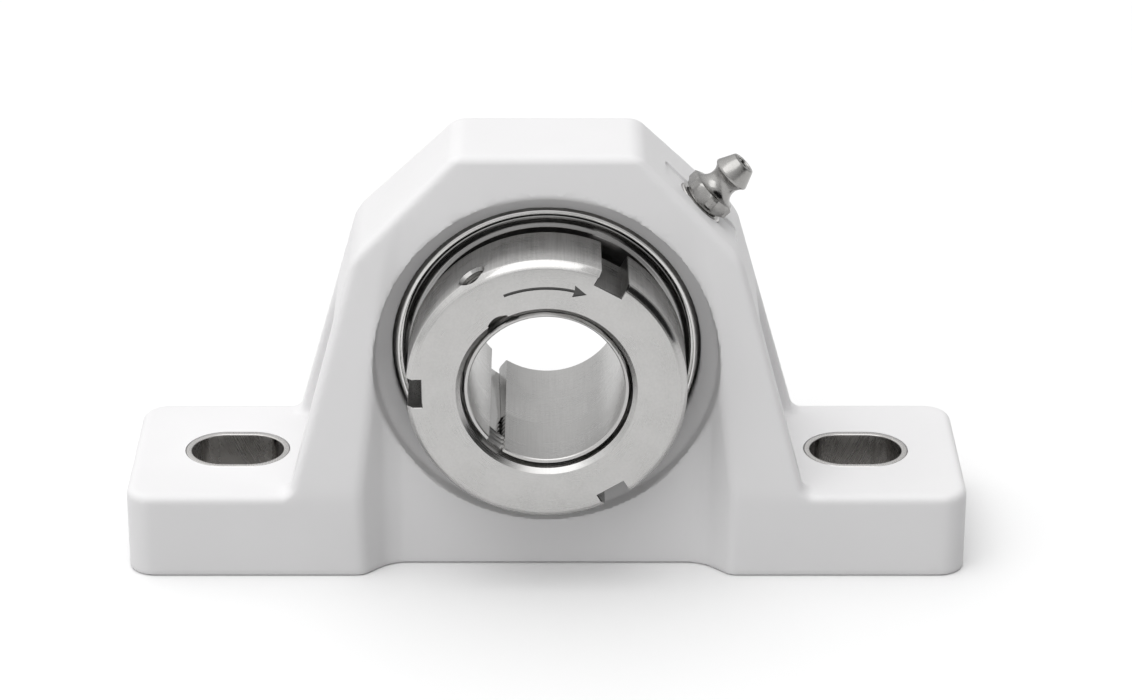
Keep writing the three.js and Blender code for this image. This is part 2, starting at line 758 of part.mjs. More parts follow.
// An open snap ring that sits in a groove of the inner ring and a groove of the nut.
function retainingRing() {
  const near = retainerMiddle - retainerThickness / 2;
  const inside = innerLandRadius - retainerBite;
  const outside = innerLandRadius + nutOverRingGap + retainerBite;
  const ring = washer(inside, outside, near, retainerThickness, -1);
  const half = retainerOpening / 2;
  const opening = box([0, -REACH, shaftHeight - half], [REACH, REACH, shaftHeight + half]);
  return ring.subtract(solid(atShaftAngle(opening, slitAngle)));
}

add("nut_retaining_ring", retainingRing(), "springSteel");

const screwTop = nutRadius - setScrewSunk;
const socket = setScrewRod(setScrewSocketRadius, screwTop - setScrewSocketDepth, screwTop + 1, 6);
const setScrew = setScrewRod(setScrewRadius, screwTop - setScrewLength, screwTop, 16).subtract(socket);
add("nut_set_screw", setScrew, "springSteel");

export default block;
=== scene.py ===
# %% [markdown]
# # A two-bolt pillow block bearing
#
# The real object is a white moulded housing with two slotted feet. It holds a ball bearing insert whose
# outside is a ball shape, so the shaft may be a little out of line. A thin split sleeve grips the shaft when
# the lock nut in front draws it into the tapered bore of the inner ring.
#
# The imported model is loaded first and never moved. It gives the bodies that the pieces ride on. The
# finished looks have to stay inside it.

import math

import bpy
import numpy as np
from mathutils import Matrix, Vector


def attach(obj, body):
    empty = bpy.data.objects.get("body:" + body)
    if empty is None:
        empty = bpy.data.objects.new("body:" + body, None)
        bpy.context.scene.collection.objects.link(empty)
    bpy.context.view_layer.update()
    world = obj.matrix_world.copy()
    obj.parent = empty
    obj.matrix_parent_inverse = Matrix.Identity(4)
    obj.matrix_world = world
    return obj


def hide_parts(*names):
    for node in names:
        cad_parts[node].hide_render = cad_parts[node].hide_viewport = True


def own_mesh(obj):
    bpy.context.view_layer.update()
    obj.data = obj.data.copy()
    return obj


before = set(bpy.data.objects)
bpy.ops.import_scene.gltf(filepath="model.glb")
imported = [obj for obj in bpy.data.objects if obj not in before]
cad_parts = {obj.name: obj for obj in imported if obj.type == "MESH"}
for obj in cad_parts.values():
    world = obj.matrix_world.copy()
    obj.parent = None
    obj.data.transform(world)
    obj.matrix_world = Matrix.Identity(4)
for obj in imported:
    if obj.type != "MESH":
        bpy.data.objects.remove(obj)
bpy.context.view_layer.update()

# %% [markdown]
# ## Sizes
#
# The sizes below are in millimetres and are those of the design: the shaft axis runs along Y, 36.5 above
# the base, and the lock nut faces -Y. Everything else is worked out from them where it is needed. A mesh is
# made in millimetres and turned into metres in one place, the helper that makes the object.

# %% The sizes that the pieces share
MM = 0.001
SHAFT_HEIGHT = 36.5
HALF_LENGTH = 70.0
HALF_DEPTH = 18.35
FOOT_HEIGHT = 14.6
CROWN_HEIGHT = 71.5
CHAMFER_REACH = 35.35  # from the shaft axis to each sloping shoulder
FACE_LEAN = 0.157
LEG_FOOT_HALF_WIDTH = 42.8
LEG_LEAN = 0.273
BOLT_HALF_SPACING = 52.5
PORT_Y = -2.4
PORT_OFFSET = 0.7  # how far the port's axis passes below the shaft axis, measured along the shoulder
NUT_RADIUS = 22.85
NUT_FRONT, NUT_REAR = -24.1, -11.2
BORE_RADIUS = 12.7
INSERT_RADIUS = 26.0  # the ball shape of the outer ring
SLEEVE_FRONT, SLEEVE_REAR = -22.8, 12.2
INNER_LAND = 17.4
OUTER_LAND = 22.2
THREAD_PITCH = 1.5
THREAD_DEPTH = 0.85
SLEEVE_THREAD_ROOT = 13.0
THREAD_END = -9.0
SLIT_WIDTH = 3.3
SLIT_ANGLE = math.radians(-130)

# %% [markdown]
# ## Turning numbers into meshes
#
# Nearly every surface here is a grid: rows of points, each joined to the next row by four-cornered faces.
# One helper numbers the faces of a grid, and one turns points and faces into an object. The second also
# measures the volume that the faces enclose. If it comes out negative the faces look inwards, and they are
# all turned round.

# %% Grid faces, enclosed volume and the object maker


def grid_faces(rows, columns, close_rows=False, close_columns=False):
    """Face (r, c) joins points (r, c), (r, c+1), (r+1, c+1) and (r+1, c); a closed direction wraps round."""
    r = np.arange(rows if close_rows else rows - 1)[:, None]
    c = np.arange(columns if close_columns else columns - 1)[None, :]
    r2, c2 = (r + 1) % rows, (c + 1) % columns
    corners = [r * columns + c, r * columns + c2, r2 * columns + c2, r2 * columns + c]
    return np.stack(np.broadcast_arrays(*corners), -1).reshape(-1, 4)


def enclosed_volume(points, faces):
    """The sum of a . (b x c) / 6 over each triangle of the faces, which is the volume inside them."""
    a = points[faces[:, 0]]
    total = 0.0
    for k in range(1, faces.shape[1] - 1):
        total += np.einsum("ij,ij->", a, np.cross(points[faces[:, k]], points[faces[:, k + 1]]))
    return total / 6


def make_object(name, points, face_sets, smooth_degrees=35):
    """Points are in millimetres. Faces end up outwards, and edges sharper than the angle stay crisp."""
    volume = sum(enclosed_volume(points, faces) for faces in face_sets)
    if volume < 0:
        face_sets = [faces[:, ::-1] for faces in face_sets]
    polygons = [face for faces in face_sets for face in faces.tolist()]
    mesh = bpy.data.meshes.new(name)
    mesh.from_pydata((points * MM).tolist(), [], polygons)
    mesh.shade_smooth()
    mesh.set_sharp_from_angle(angle=math.radians(smooth_degrees))
    obj = bpy.data.objects.new(name, mesh)
    bpy.context.scene.collection.objects.link(obj)
    print(f"{name}: {len(points)} points, {abs(volume) / 1000:.2f} cubic cm")
    return obj


# %% [markdown]
# ## Turned parts
#
# Rings, nuts and sleeves come off a lathe: a flat outline is carried round the shaft axis. The outline's
# corners are broken by a small round, as a machinist breaks an edge, so that they catch a thin line of light.
# The round at each corner is a curve that leaves one side and joins the next: it starts a little before the
# corner, is drawn towards it, and ends a little after.

# %% Broken corners and the lathe


def broken(outline, size, steps=3):
    """Corner P becomes the curve (1-s)^2 A + 2 s (1-s) P + s^2 B, with A and B `size` off along its sides."""
    corners = np.asarray(outline, float)
    sizes = np.broadcast_to(np.asarray(size, float), len(corners))[:, None]
    before, after = np.roll(corners, 1, 0) - corners, np.roll(corners, -1, 0) - corners
    long_before = np.linalg.norm(before, axis=1, keepdims=True)
    long_after = np.linalg.norm(after, axis=1, keepdims=True)
    a = corners + before / long_before * np.minimum(sizes, 0.45 * long_before)
    b = corners + after / long_after * np.minimum(sizes, 0.45 * long_after)
    s = np.linspace(0, 1, steps + 1)[None, :, None]
    curve = (1 - s) ** 2 * a[:, None] + 2 * s * (1 - s) * corners[:, None] + s**2 * b[:, None]
    return curve.reshape(-1, 2)


def arc_points(centre, radius, start, end, steps):
    """Points on a circle about `centre`, from one angle to another in degrees."""
    angle = np.radians(np.linspace(start, end, steps + 1))
    return np.stack([centre[0] + radius * np.cos(angle), centre[1] + radius * np.sin(angle)], -1)


def around_shaft(radius, y, angle):
    """A point at that radius and angle from +X, seen from the nut, and at y along the shaft."""
    return np.stack([radius * np.cos(angle), y + 0 * angle, SHAFT_HEIGHT + radius * np.sin(angle)], -1)


def spoke(degrees, y, offset=0.0):
    """Places a point at a radius and angle about a spoke of the shaft, or a line `offset` beside one."""
    c, s = math.cos(math.radians(degrees)), math.sin(math.radians(degrees))

    def place(radius, reach, angle):
        across, reach = radius * np.cos(angle) + offset, reach + 0 * angle
        x, z = reach * c + across * s, reach * s - across * c
        return np.stack([x, y + radius * np.sin(angle), SHAFT_HEIGHT + z], -1)

    return place


def square_to_spoke(degrees, y, offset=0.0):
    """Places a flat outline square to a spoke: its first number is across the shaft, its second along it."""
    place = spoke(degrees, y, offset)
    return lambda outline, reach: place(
        np.hypot(outline[:, 0], outline[:, 1]), reach, np.arctan2(outline[:, 1], outline[:, 0])
    )


def rod(radius, low, high):
    """The outline of a plain rod, a hair short of the axis, where its faces would close to nothing."""
    return [(0.001, low), (radius, low), (radius, high), (0.001, high)]


def turned(name, outline, place=around_shaft, sides=160, radius_at=None):
    """Carries a closed outline of (radius, distance) points round an axis; radius_at may reshape it."""
    outline = np.asarray(outline, float)
    angle = np.linspace(0, 2 * np.pi, sides, endpoint=False)[:, None]
    radius, along = outline[None, :, 0], outline[None, :, 1]
    if radius_at:
        radius = radius_at(radius, along, angle)
    points = place(radius, along, angle).reshape(-1, 3)
    return make_object(name, points, [grid_faces(sides, len(outline), True, True)])


# %% [markdown]
# ## Camera, floor and light
#
# The view is from straight in front and 24 degrees above, through a long lens, so the sides hardly converge.
# The floor is plain and pale. The light is a big soft room: it is brightest overhead and to the left, falls
# off towards the floor, and has one dark patch to the right, because polished metal needs something dark to
# mirror or it looks like plastic. One soft box overhead puts a shine on what faces up. The camera itself
# sees plain white behind the object.

# %% Camera
VIEW_ELEVATION = math.radians(24.1)
VIEW_DISTANCE = 0.6187
camera_data = bpy.data.cameras.new("camera")
camera = bpy.data.objects.new("camera", camera_data)
bpy.context.scene.collection.objects.link(camera)
aim = Vector((0, 0, SHAFT_HEIGHT * MM))
back = Vector((0, -math.cos(VIEW_ELEVATION), math.sin(VIEW_ELEVATION)))
camera.location = aim + back * VIEW_DISTANCE
camera.rotation_euler = (-back).to_track_quat("-Z", "Y").to_euler()
camera_data.lens = 117.4
camera_data.shift_x = 0.0171
camera_data.shift_y = -0.0164
bpy.context.scene.camera = camera
bpy.context.scene.view_settings.view_transform = "Standard"

# %% A short way to write shader nodes


class Nodes:
    """Each call adds one shader node, links what is an output of another node, and sets what is a number."""

    def __init__(self, tree):
        self.tree = tree

    def add(self, kind, output=0, set=None, **inputs):
        node = self.tree.nodes.new("ShaderNode" + kind)
        for key, value in (set or {}).items():
            setattr(node, key, value)
        for key, value in inputs.items():
            slot = node.inputs[int(key[1:])] if key[0] == "i" and key[1:].isdigit() else node.inputs[key]
            if isinstance(value, bpy.types.NodeSocket):
                self.tree.links.new(value, slot)
            else:
                slot.default_value = value
        return node.outputs[output]

    def math(self, operation, *values, clamp=False):
        inputs = {f"i{i}": value for i, value in enumerate(values)}
        return self.add("Math", set={"operation": operation, "use_clamp": clamp}, **inputs)

    def blend(self, factor, a, b):
        return self.add("Mix", output=2, set={"data_type": "RGBA"}, i0=factor, i6=a, i7=b)

    def scaled_pair(self, a, a_scale, b, b_scale):
        a, b = self.math("MULTIPLY", a, a_scale), self.math("MULTIPLY", b, b_scale)
        return self.add("CombineXYZ", X=a, Y=b, Z=0.0)

    def ramp(self, factor, *stops):
        """stops are (place, grey) or (place, (r, g, b)) pairs."""
        node = self.tree.nodes.new("ShaderNodeValToRGB")
        self.tree.links.new(factor, node.inputs["Fac"])
        colours = node.color_ramp.elements
        while len(colours) < len(stops):
            colours.new(0.5)
        for element, (place, colour) in zip(colours, stops):
            element.position = place
            rgb = colour if isinstance(colour, tuple) else (colour,) * 3
            element.color = (*rgb, 1)
        return node.outputs["Color"]


# %% Floor


def make_floor():
    """A wide square under the base: bright paper to the camera and in mirrors, a duller grey as a lamp."""
    half = 3.0
    mesh = bpy.data.meshes.new("floor")
    corners = [(-half, -half), (half, -half), (half, half), (-half, half)]
    mesh.from_pydata([(x, y, -0.0001) for x, y in corners], [], [(0, 1, 2, 3)])
    floor = bpy.data.objects.new("floor", mesh)
    bpy.context.scene.collection.objects.link(floor)
    material = bpy.data.materials.new("floor_paper")
    material.use_nodes = True
    n = Nodes(material.node_tree)
    direct = n.math("MAXIMUM", n.add("LightPath", output=0), n.add("LightPath", output=3))
    dull, bright = (0.42, 0.42, 0.42, 1), (0.95, 0.95, 0.95, 1)
    colour = n.blend(direct, dull, bright)
    shader = material.node_tree.nodes["Principled BSDF"]
    material.node_tree.links.new(colour, shader.inputs["Base Color"])
    shader.inputs["Roughness"].default_value = 0.6
    mesh.materials.append(material)


make_floor()

# %% The soft room


def make_room():
    """Light by direction: a ramp from straight down to overhead, stronger on the left, less a dark patch."""
    world = bpy.data.worlds.new("soft_room")
    world.use_nodes = True
    tree = world.node_tree
    tree.nodes.clear()
    n = Nodes(tree)
    direction = n.add("TexCoord", output=0)
    parts = tree.nodes.new("ShaderNodeSeparateXYZ")
    tree.links.new(direction, parts.inputs[0])
    height = n.math("ADD", n.math("MULTIPLY", parts.outputs["Z"], 0.5), 0.5)
    sky = n.ramp(height, (0.0, 0.4), (0.5, 0.57), (0.62, 0.69), (0.8, 0.95), (1.0, 1.15))
    from_left = n.math("SUBTRACT", 1.0, n.math("MULTIPLY", parts.outputs["X"], 0.42))
    light = n.add("VectorMath", set={"operation": "MULTIPLY"}, i0=sky, i1=from_left)
    near_black, white = (0.02, 0.02, 0.02, 1), (1, 1, 1, 1)
    dark_way = Vector((0.86, -0.32, 0.36)).normalized()
    dot = {"operation": "DOT_PRODUCT"}
    facing = n.add("VectorMath", output=1, set=dot, i0=direction, i1=tuple(dark_way))
    patch = n.add("MapRange", i0=facing, i1=0.87, i2=0.93)
    shaded = n.blend(patch, light, near_black)
    seen = n.blend(n.add("LightPath", output=0), shaded, white)
    background = n.add("Background", Color=seen, Strength=1.0)
    out = tree.nodes.new("ShaderNodeOutputWorld")
    tree.links.new(background, out.inputs["Surface"])
    bpy.context.scene.world = world


make_room()


def soft_box(name, place, size, power, target=(0, 0, 0.03)):
    """A square area light, out of the camera's sight, that faces the target."""
    data = bpy.data.lights.new(name, "AREA")
    data.shape = "SQUARE"
    data.size = size
    data.energy = power
    light = bpy.data.objects.new(name, data)
    bpy.context.scene.collection.objects.link(light)
    light.location = place
    way = Vector(target) - Vector(place)
    light.rotation_euler = way.to_track_quat("-Z", "Y").to_euler()
    light.visible_camera = False


soft_box("overhead", (-0.1, -0.4, 1.17), 1.1, 4.4)

# %% [markdown]
# ## The housing
#
# The real housing is one moulding of white reinforced polymer. No edge on it is sharp: every wall runs into
# the next through a small round, because molten plastic fills a rounded mould better and a rounded corner
# doesn't crack. A box model with a bevel modifier would fail where the legs, the pockets and the round recess
# meet, since a bevel needs tidy edges to follow.
#
# So the shape is written as a distance formula instead: a function that is negative inside the plastic,
# positive outside and zero on the surface. A plane's distance is a line of arithmetic, and two distances are
# joined with a rounded "and": where both are near zero, the corner between them becomes an arc. Subtracting
# a pocket is the same "and" with the pocket's distance turned round.

# %% The rounded "and" and "or" of two distances


def both(a, b, radius):
    """Inside a and b, with a corner of radius r: min(max(a, b), -r) + length(max(a+r, 0), max(b+r, 0))."""
    rounded = np.hypot(np.maximum(a + radius, 0), np.maximum(b + radius, 0))
    return np.minimum(np.maximum(a, b), -radius) + rounded


def either(a, b, radius):
    """Inside a or b, with a fillet in the corner: the "and" of the two outsides, reversed."""
    return -both(-a, -b, radius)


def less(a, b, radius):
    """Inside a but outside b, with the new edge rounded."""
    return both(a, -b, radius)


# %% [markdown]
# The housing seen from the front is a foot slab with a tower on it: leaning legs, two 45 degree shoulders and
# a flat crown. Seen from the side, the faces are upright over the foot and lean in above it. Each leg is a
# channel, open to the outside, between a front and a rear flange. Below the bearing, front and back are
# scooped out to a flat floor between two slanting facets, which keeps the walls equally thick.

# %% The housing as a distance formula
FLANGE = 4.3
WEB_X = 35.6
POCKET_HALF_WIDTH = 25.9
POCKET_FLOOR, POCKET_LEAN = 13.7, 0.034


def face_depth(z):
    """Half the depth at height z: upright up to the foot's top, leaning in above it, the bend eased."""
    rise = z - FOOT_HEIGHT
    return HALF_DEPTH - FACE_LEAN * 0.5 * (rise + np.sqrt(rise**2 + 1.5))


def tower_outline(x, z):
    """The leg, the 45 degree shoulder and the crown, seen from the front."""
    leg = (x + LEG_LEAN * (z - FOOT_HEIGHT) - LEG_FOOT_HALF_WIDTH) / math.hypot(1, LEG_LEAN)
    shoulder = (x + z - SHAFT_HEIGHT) / math.sqrt(2) - CHAMFER_REACH
    return both(both(leg, shoulder, 1.1), z - CROWN_HEIGHT, 1.1)


SEAT_RADIUS = INSERT_RADIUS + 0.2
SEAT_EDGE = 5.4  # just short of where the seat's ball meets the upright wall
SEAT_WALL_RADIUS = 25.6
RECESS_RADIUS, RECESS_DEPTH = 28.3, 10.5
LEAD_IN_START = RECESS_DEPTH - (RECESS_RADIUS - SEAT_WALL_RADIUS)


def seat_distance(x, y, z):
    """The ball-shaped seat, an upright wall at its edge, a 45 degree lead-in and the recess, twice."""
    radius = np.hypot(x, z - SHAFT_HEIGHT)
    ball = np.hypot(radius, y) - SEAT_RADIUS
    wall = radius - SEAT_WALL_RADIUS
    lead_in = (radius - SEAT_WALL_RADIUS - (y - LEAD_IN_START)) / math.sqrt(2)
    flare = radius - RECESS_RADIUS - 0.05 * (y - RECESS_DEPTH)
    beyond_ball = SEAT_EDGE - y
    opening = np.minimum(wall, np.maximum(lead_in, LEAD_IN_START - y))
    opening = np.maximum(opening, np.maximum(flare, beyond_ball))
    return np.minimum(ball, np.where(y < LEAD_IN_START, np.maximum(wall, beyond_ball), opening))


def housing_distance(x, y, z):
    """The tower less its leg channels, joined to the foot by a fillet, less the two scoops and the seat."""
    x, y = np.abs(x), np.abs(y)
    plan = both(x - HALF_LENGTH, (y - face_depth(z)) * 0.988, 4.5)
    channel = both(WEB_X - x, y - (face_depth(z) - FLANGE), 1.2)
    tower = less(both(tower_outline(x, z), plan, 1.3), channel, 0.8)
    foot = both(z - FOOT_HEIGHT, plan, 1.3)
    solid = np.maximum(either(tower, foot, 1.4), plan)
    floor = POCKET_FLOOR - POCKET_LEAN * z
    facet = (x - POCKET_HALF_WIDTH - (y - floor)) / math.sqrt(2)
    solid = less(solid, both(floor - y, facet, 1.6), 0.8)
    solid = less(solid, seat_distance(x, y, z), 0.32)
    return both(solid, -z, 0.4)


# %% [markdown]
# A mesh is laid over the zero level with a net. Space is cut into small cells. A cell that has corners both
# inside and outside gets one point, in the middle of the places where the surface crosses its edges, and
# every cell edge that the surface crosses gets a four-cornered face from the four cells around it. Then each
# point slides down the slope of the formula until it is exactly on the surface, which makes the flat faces
# flat and the rounds round.

# %% From a distance formula to a mesh


def net_over(values, origin, step):
    """Points (the mean of each mixed cell's edge crossings) and faces (one for each crossed grid edge)."""
    inside = values < 0
    corners = [(i, j, k) for i in (0, 1) for j in (0, 1) for k in (0, 1)]
    size = np.array(values.shape) - 1

    def corner_view(grid, c):
        return grid[c[0] : c[0] + size[0], c[1] : c[1] + size[1], c[2] : c[2] + size[2]]

    count = sum(corner_view(inside, c).astype(np.uint8) for c in corners)
    mixed = (count > 0) & (count < 8)
    number = np.full(mixed.shape, -1)
    number[mixed] = np.arange(mixed.sum())
    cells = np.argwhere(mixed)
    at = np.stack([corner_view(values, c)[mixed] for c in corners], -1)
    total, crossings = np.zeros((len(cells), 3)), np.zeros((len(cells), 1))
    for a in range(8):
        for b in range(a + 1, 8):
            way = np.subtract(corners[b], corners[a])
            if np.abs(way).sum() != 1:
                continue
            crossed = ((at[:, a] < 0) != (at[:, b] < 0))[:, None]
            share = np.where(crossed[:, 0], at[:, a] / (at[:, a] - at[:, b] + 1e-12), 0)[:, None]
            total += crossed * (np.array(corners[a]) + share * way)
            crossings += crossed
    points = origin + (cells + total / crossings) * step
    faces = []
    for axis in range(3):
        u, v = (axis + 1) % 3, (axis + 2) % 3
        low = [slice(1, -1)] * 3
        low[axis] = slice(0, -1)
        high = list(low)
        high[axis] = slice(1, None)
        leaves = inside[tuple(low)] & ~inside[tuple(high)]
        enters = ~inside[tuple(low)] & inside[tuple(high)]
        for crossed, order in ((leaves, (0, 1, 2, 3)), (enters, (3, 2, 1, 0))):
            start = np.argwhere(crossed) + [0 if a == axis else 1 for a in range(3)]
            around = []
            for back_u, back_v in ((0, 0), (1, 0), (1, 1), (0, 1)):
                cell = start.copy()
                cell[:, u] -= back_u
                cell[:, v] -= back_v
                around.append(number[cell[:, 0], cell[:, 1], cell[:, 2]])
            faces.append(np.stack([around[i] for i in order], -1))
    return points, np.concatenate(faces)


def slope(distance, points, reach=0.01):
    """The gradient: along each axis, the formula a little ahead less the formula a little behind."""
    shifts = np.eye(3) * reach
    ahead = [distance(*(points + shift).T) - distance(*(points - shift).T) for shift in shifts]
    return np.stack(ahead, -1) / (2 * reach)


def settled(distance, points, rounds=4, furthest=0.2):
    """Each round moves a point by -f(P) times the slope over its length squared, at most `furthest`."""
    for _ in range(rounds):
        way = slope(distance, points)
        move = -distance(*points.T)[:, None] * way / np.maximum((way**2).sum(1, keepdims=True), 0.25)
        length = np.linalg.norm(move, axis=1, keepdims=True)
        points = points + move * np.minimum(1, furthest / np.maximum(length, 1e-9))
    return points


def meshed(name, distance, low, high, step):
    """Lays a net over the zero level of a distance formula in a box, and settles its points on it."""
    axes = [np.arange(a - 1.5 * step, b + 2.5 * step, step) for a, b in zip(low, high)]
    values = distance(axes[0][:, None, None], axes[1][None, :, None], axes[2][None, None, :])
    origin = np.array([axis[0] for axis in axes])
    points, faces = net_over(values, origin, step)
    return make_object(name, settled(distance, points), [faces], smooth_degrees=180)


# %% [markdown]
# The net is fine everywhere, though the flat faces don't need it. Decimate then removes the points that
# change the shape least, so the flat parts get large triangles and the rounds keep their small ones.
#
# The small crisp openings are cut with Boolean modifiers, because they are drilled or moulded with sharp
# rims: the two bolt slots, the hole and shallow panel of the grease port, the slot for the anti-rotation pin
# above the ring, and the two notches at the back that the ring is turned through when it is fitted.

# %% Modifiers made permanent, and cutters


def settle_modifiers(obj, smooth_degrees):
    """Replaces the mesh by the result of its modifiers, and marks its sharp edges again."""
    depsgraph = bpy.context.evaluated_depsgraph_get()
    mesh = bpy.data.meshes.new_from_object(obj.evaluated_get(depsgraph))
    obj.modifiers.clear()
    obj.data = mesh
    mesh.shade_smooth()
    mesh.set_sharp_from_angle(angle=math.radians(smooth_degrees))
    return obj


def cut(obj, cutters, smooth_degrees=38):
    """Subtracts each cutter in turn and throws it away. The faces it leaves take its own material."""
    for cutter in cutters:
        modifier = obj.modifiers.new("cut", "BOOLEAN")
        modifier.operation, modifier.object, modifier.solver = "DIFFERENCE", cutter, "EXACT"
        modifier.material_mode = "TRANSFER"
    settle_modifiers(obj, smooth_degrees)
    for cutter in cutters:
        bpy.data.objects.remove(cutter)
    return obj


def obround(length, width, steps=28):
    """A loop of points: two half circles of radius width / 2, with centres (length - width) apart."""
    radius, apart = width / 2, (length - width) / 2
    right = arc_points((apart, 0), radius, -90, 90, steps)
    left = arc_points((-apart, 0), radius, 90, 270, steps)
    return np.concatenate([right, left])


def prism(name, outline, low, high, place):
    """A solid between two copies of an outline, at `low` and `high`, each closed by one many-sided face."""
    outline = np.asarray(outline, float)
    n = len(outline)
    points = np.concatenate([place(outline, low), place(outline, high)])
    ends = np.array([np.arange(n)[::-1], np.arange(n) + n])
    return make_object(name, points, [grid_faces(2, n, close_columns=True), ends])


def upright(centre_x):
    """Places an outline in X and Y at a height."""
    return lambda o, z: np.stack([o[:, 0] + centre_x, o[:, 1], np.full(len(o), z)], -1)


def facing_front(outline, y):
    """Places an outline in X and Z about the shaft axis at y."""
    return np.stack([outline[:, 0], np.full(len(outline), y), SHAFT_HEIGHT + outline[:, 1]], -1)


# %% Make the housing
def make_housing():
    low, high = (-HALF_LENGTH, -HALF_DEPTH, 0), (HALF_LENGTH, HALF_DEPTH, CROWN_HEIGHT)
    housing = meshed("housing_moulding", housing_distance, low, high, 0.5)
    thin = housing.modifiers.new("thin", "DECIMATE")
    thin.ratio = 0.45
    settle_modifiers(housing, 180)
    bolt_slots = [
        prism("slot", obround(17.8, 13.6), -1, 20, upright(side * BOLT_HALF_SPACING)) for side in (-1, 1)
    ]
    port = turned("port_hole", rod(4.4, 27.95, 40), spoke(45, PORT_Y, PORT_OFFSET), 64)
    pin_slot = prism("pin_slot", obround(5.3, 3.4)[:, ::-1], 58, 64.6, upright(0))
    panel = broken([(-8.5, -3.2), (8.5, -3.2), (8.5, 3.2), (-8.5, 3.2)], 0.9, 6)
    panel_cut = prism("port_panel", panel, CHAMFER_REACH - 0.4, 45, square_to_spoke(45, PORT_Y, PORT_OFFSET))
    notch_radius, notch_half_width = 26.3, 7.8
    end = math.degrees(math.asin(notch_half_width / notch_radius))
    right = arc_points((0, 0), notch_radius, -end, end, 16)
    left = arc_points((0, 0), notch_radius, 180 - end, 180 + end, 16)
    notches = prism("loading_notches", np.concatenate([right, left]), 0.0, 25.0, facing_front)
    cut(housing, [*bolt_slots, port, pin_slot, panel_cut, notches])
    print("housing triangles:", sum(len(p.vertices) - 2 for p in housing.data.polygons))
    return housing


housing = make_housing()

# %% [markdown]
# ## Finishes
#
# The bearing is made of polymer, steel, rubber and nylon. The polymer is satin, and faintly uneven from the
# mould. The steel comes off a lathe, so its marks are rings about the shaft: on an end face they are
# circles, and on an outside they are fine lines round the part. Both follow from one recipe, a noise that is
# read at (distance from the shaft axis, distance along it), so it is the same all the way round. Across
# those marks lies a weaker streak of tone that changes with the angle. It is a painted sheen, standing in for
# the streaky shine that turning marks throw.
#
# Small noises drive both roughness and bump, because real wear changes how a surface mirrors more than it
# changes its colour.

# %% Polymer


def new_material(name):
    material = bpy.data.materials.new(name)
    material.use_nodes = True
    return material, Nodes(material.node_tree), material.node_tree.nodes["Principled BSDF"]


def feed(n, shader, **sockets):
    """Links or sets the shader's sockets, with _ for a space in their names."""
    for key, value in sockets.items():
        slot = shader.inputs[key.replace("_", " ")]
        if isinstance(value, bpy.types.NodeSocket):
            n.tree.links.new(value, slot)
        else:
            slot.default_value = value


def around(n, value, low, high):
    """Spreads a noise, which stays near a half, over a range."""
    return n.add("MapRange", i0=value, i1=0.3, i2=0.7, i3=low, i4=high)


def polymer_finish():
    """White with a slow drift of tone. A fine noise makes the moulding's skin, a coarse one its waviness."""
    material, n, shader = new_material("white_polymer")
    place = n.add("TexCoord", output=3)
    slow = n.add("TexNoise", Vector=place, Scale=45.0, Detail=2.0)
    skin = n.add("TexNoise", Vector=place, Scale=1400.0, Detail=3.0)
    wave = n.add("TexNoise", Vector=place, Scale=110.0, Detail=1.0)
    colour = n.ramp(slow, (0.3, (0.79, 0.785, 0.79)), (0.7, (0.815, 0.81, 0.815)))
    bump = n.add("Bump", Strength=0.16, Distance=0.00004, Height=skin)
    bump = n.add("Bump", Strength=0.12, Distance=0.0003, Height=wave, Normal=bump)
    feed(n, shader, Base_Color=colour, Roughness=around(n, skin, 0.38, 0.5), Normal=bump)
    return material


white_polymer = polymer_finish()

# %% Turned and ground steel


def lathe_coordinates(n):
    """(distance from the shaft axis, distance along it, angle round it), from the piece's own coordinates."""
    place = n.add("TexCoord", output=3)
    parts = n.tree.nodes.new("ShaderNodeSeparateXYZ")
    n.tree.links.new(place, parts.inputs[0])
    x, y = parts.outputs["X"], parts.outputs["Y"]
    z = n.math("SUBTRACT", parts.outputs["Z"], SHAFT_HEIGHT * MM)
    radius = n.math("SQRT", n.math("ADD", n.math("MULTIPLY", x, x), n.math("MULTIPLY", z, z)))
    return place, radius, y, n.math("ARCTAN2", z, x)


def facing_along_shaft(n):
    """1 on a face square to the shaft and 0 on a cylinder about it, from the surface's own normal."""
    normal = n.tree.nodes.new("ShaderNodeNewGeometry").outputs["Normal"]
    parts = n.tree.nodes.new("ShaderNodeSeparateXYZ")
    n.tree.links.new(normal, parts.inputs[0])
    return n.math("ABSOLUTE", parts.outputs["Y"])


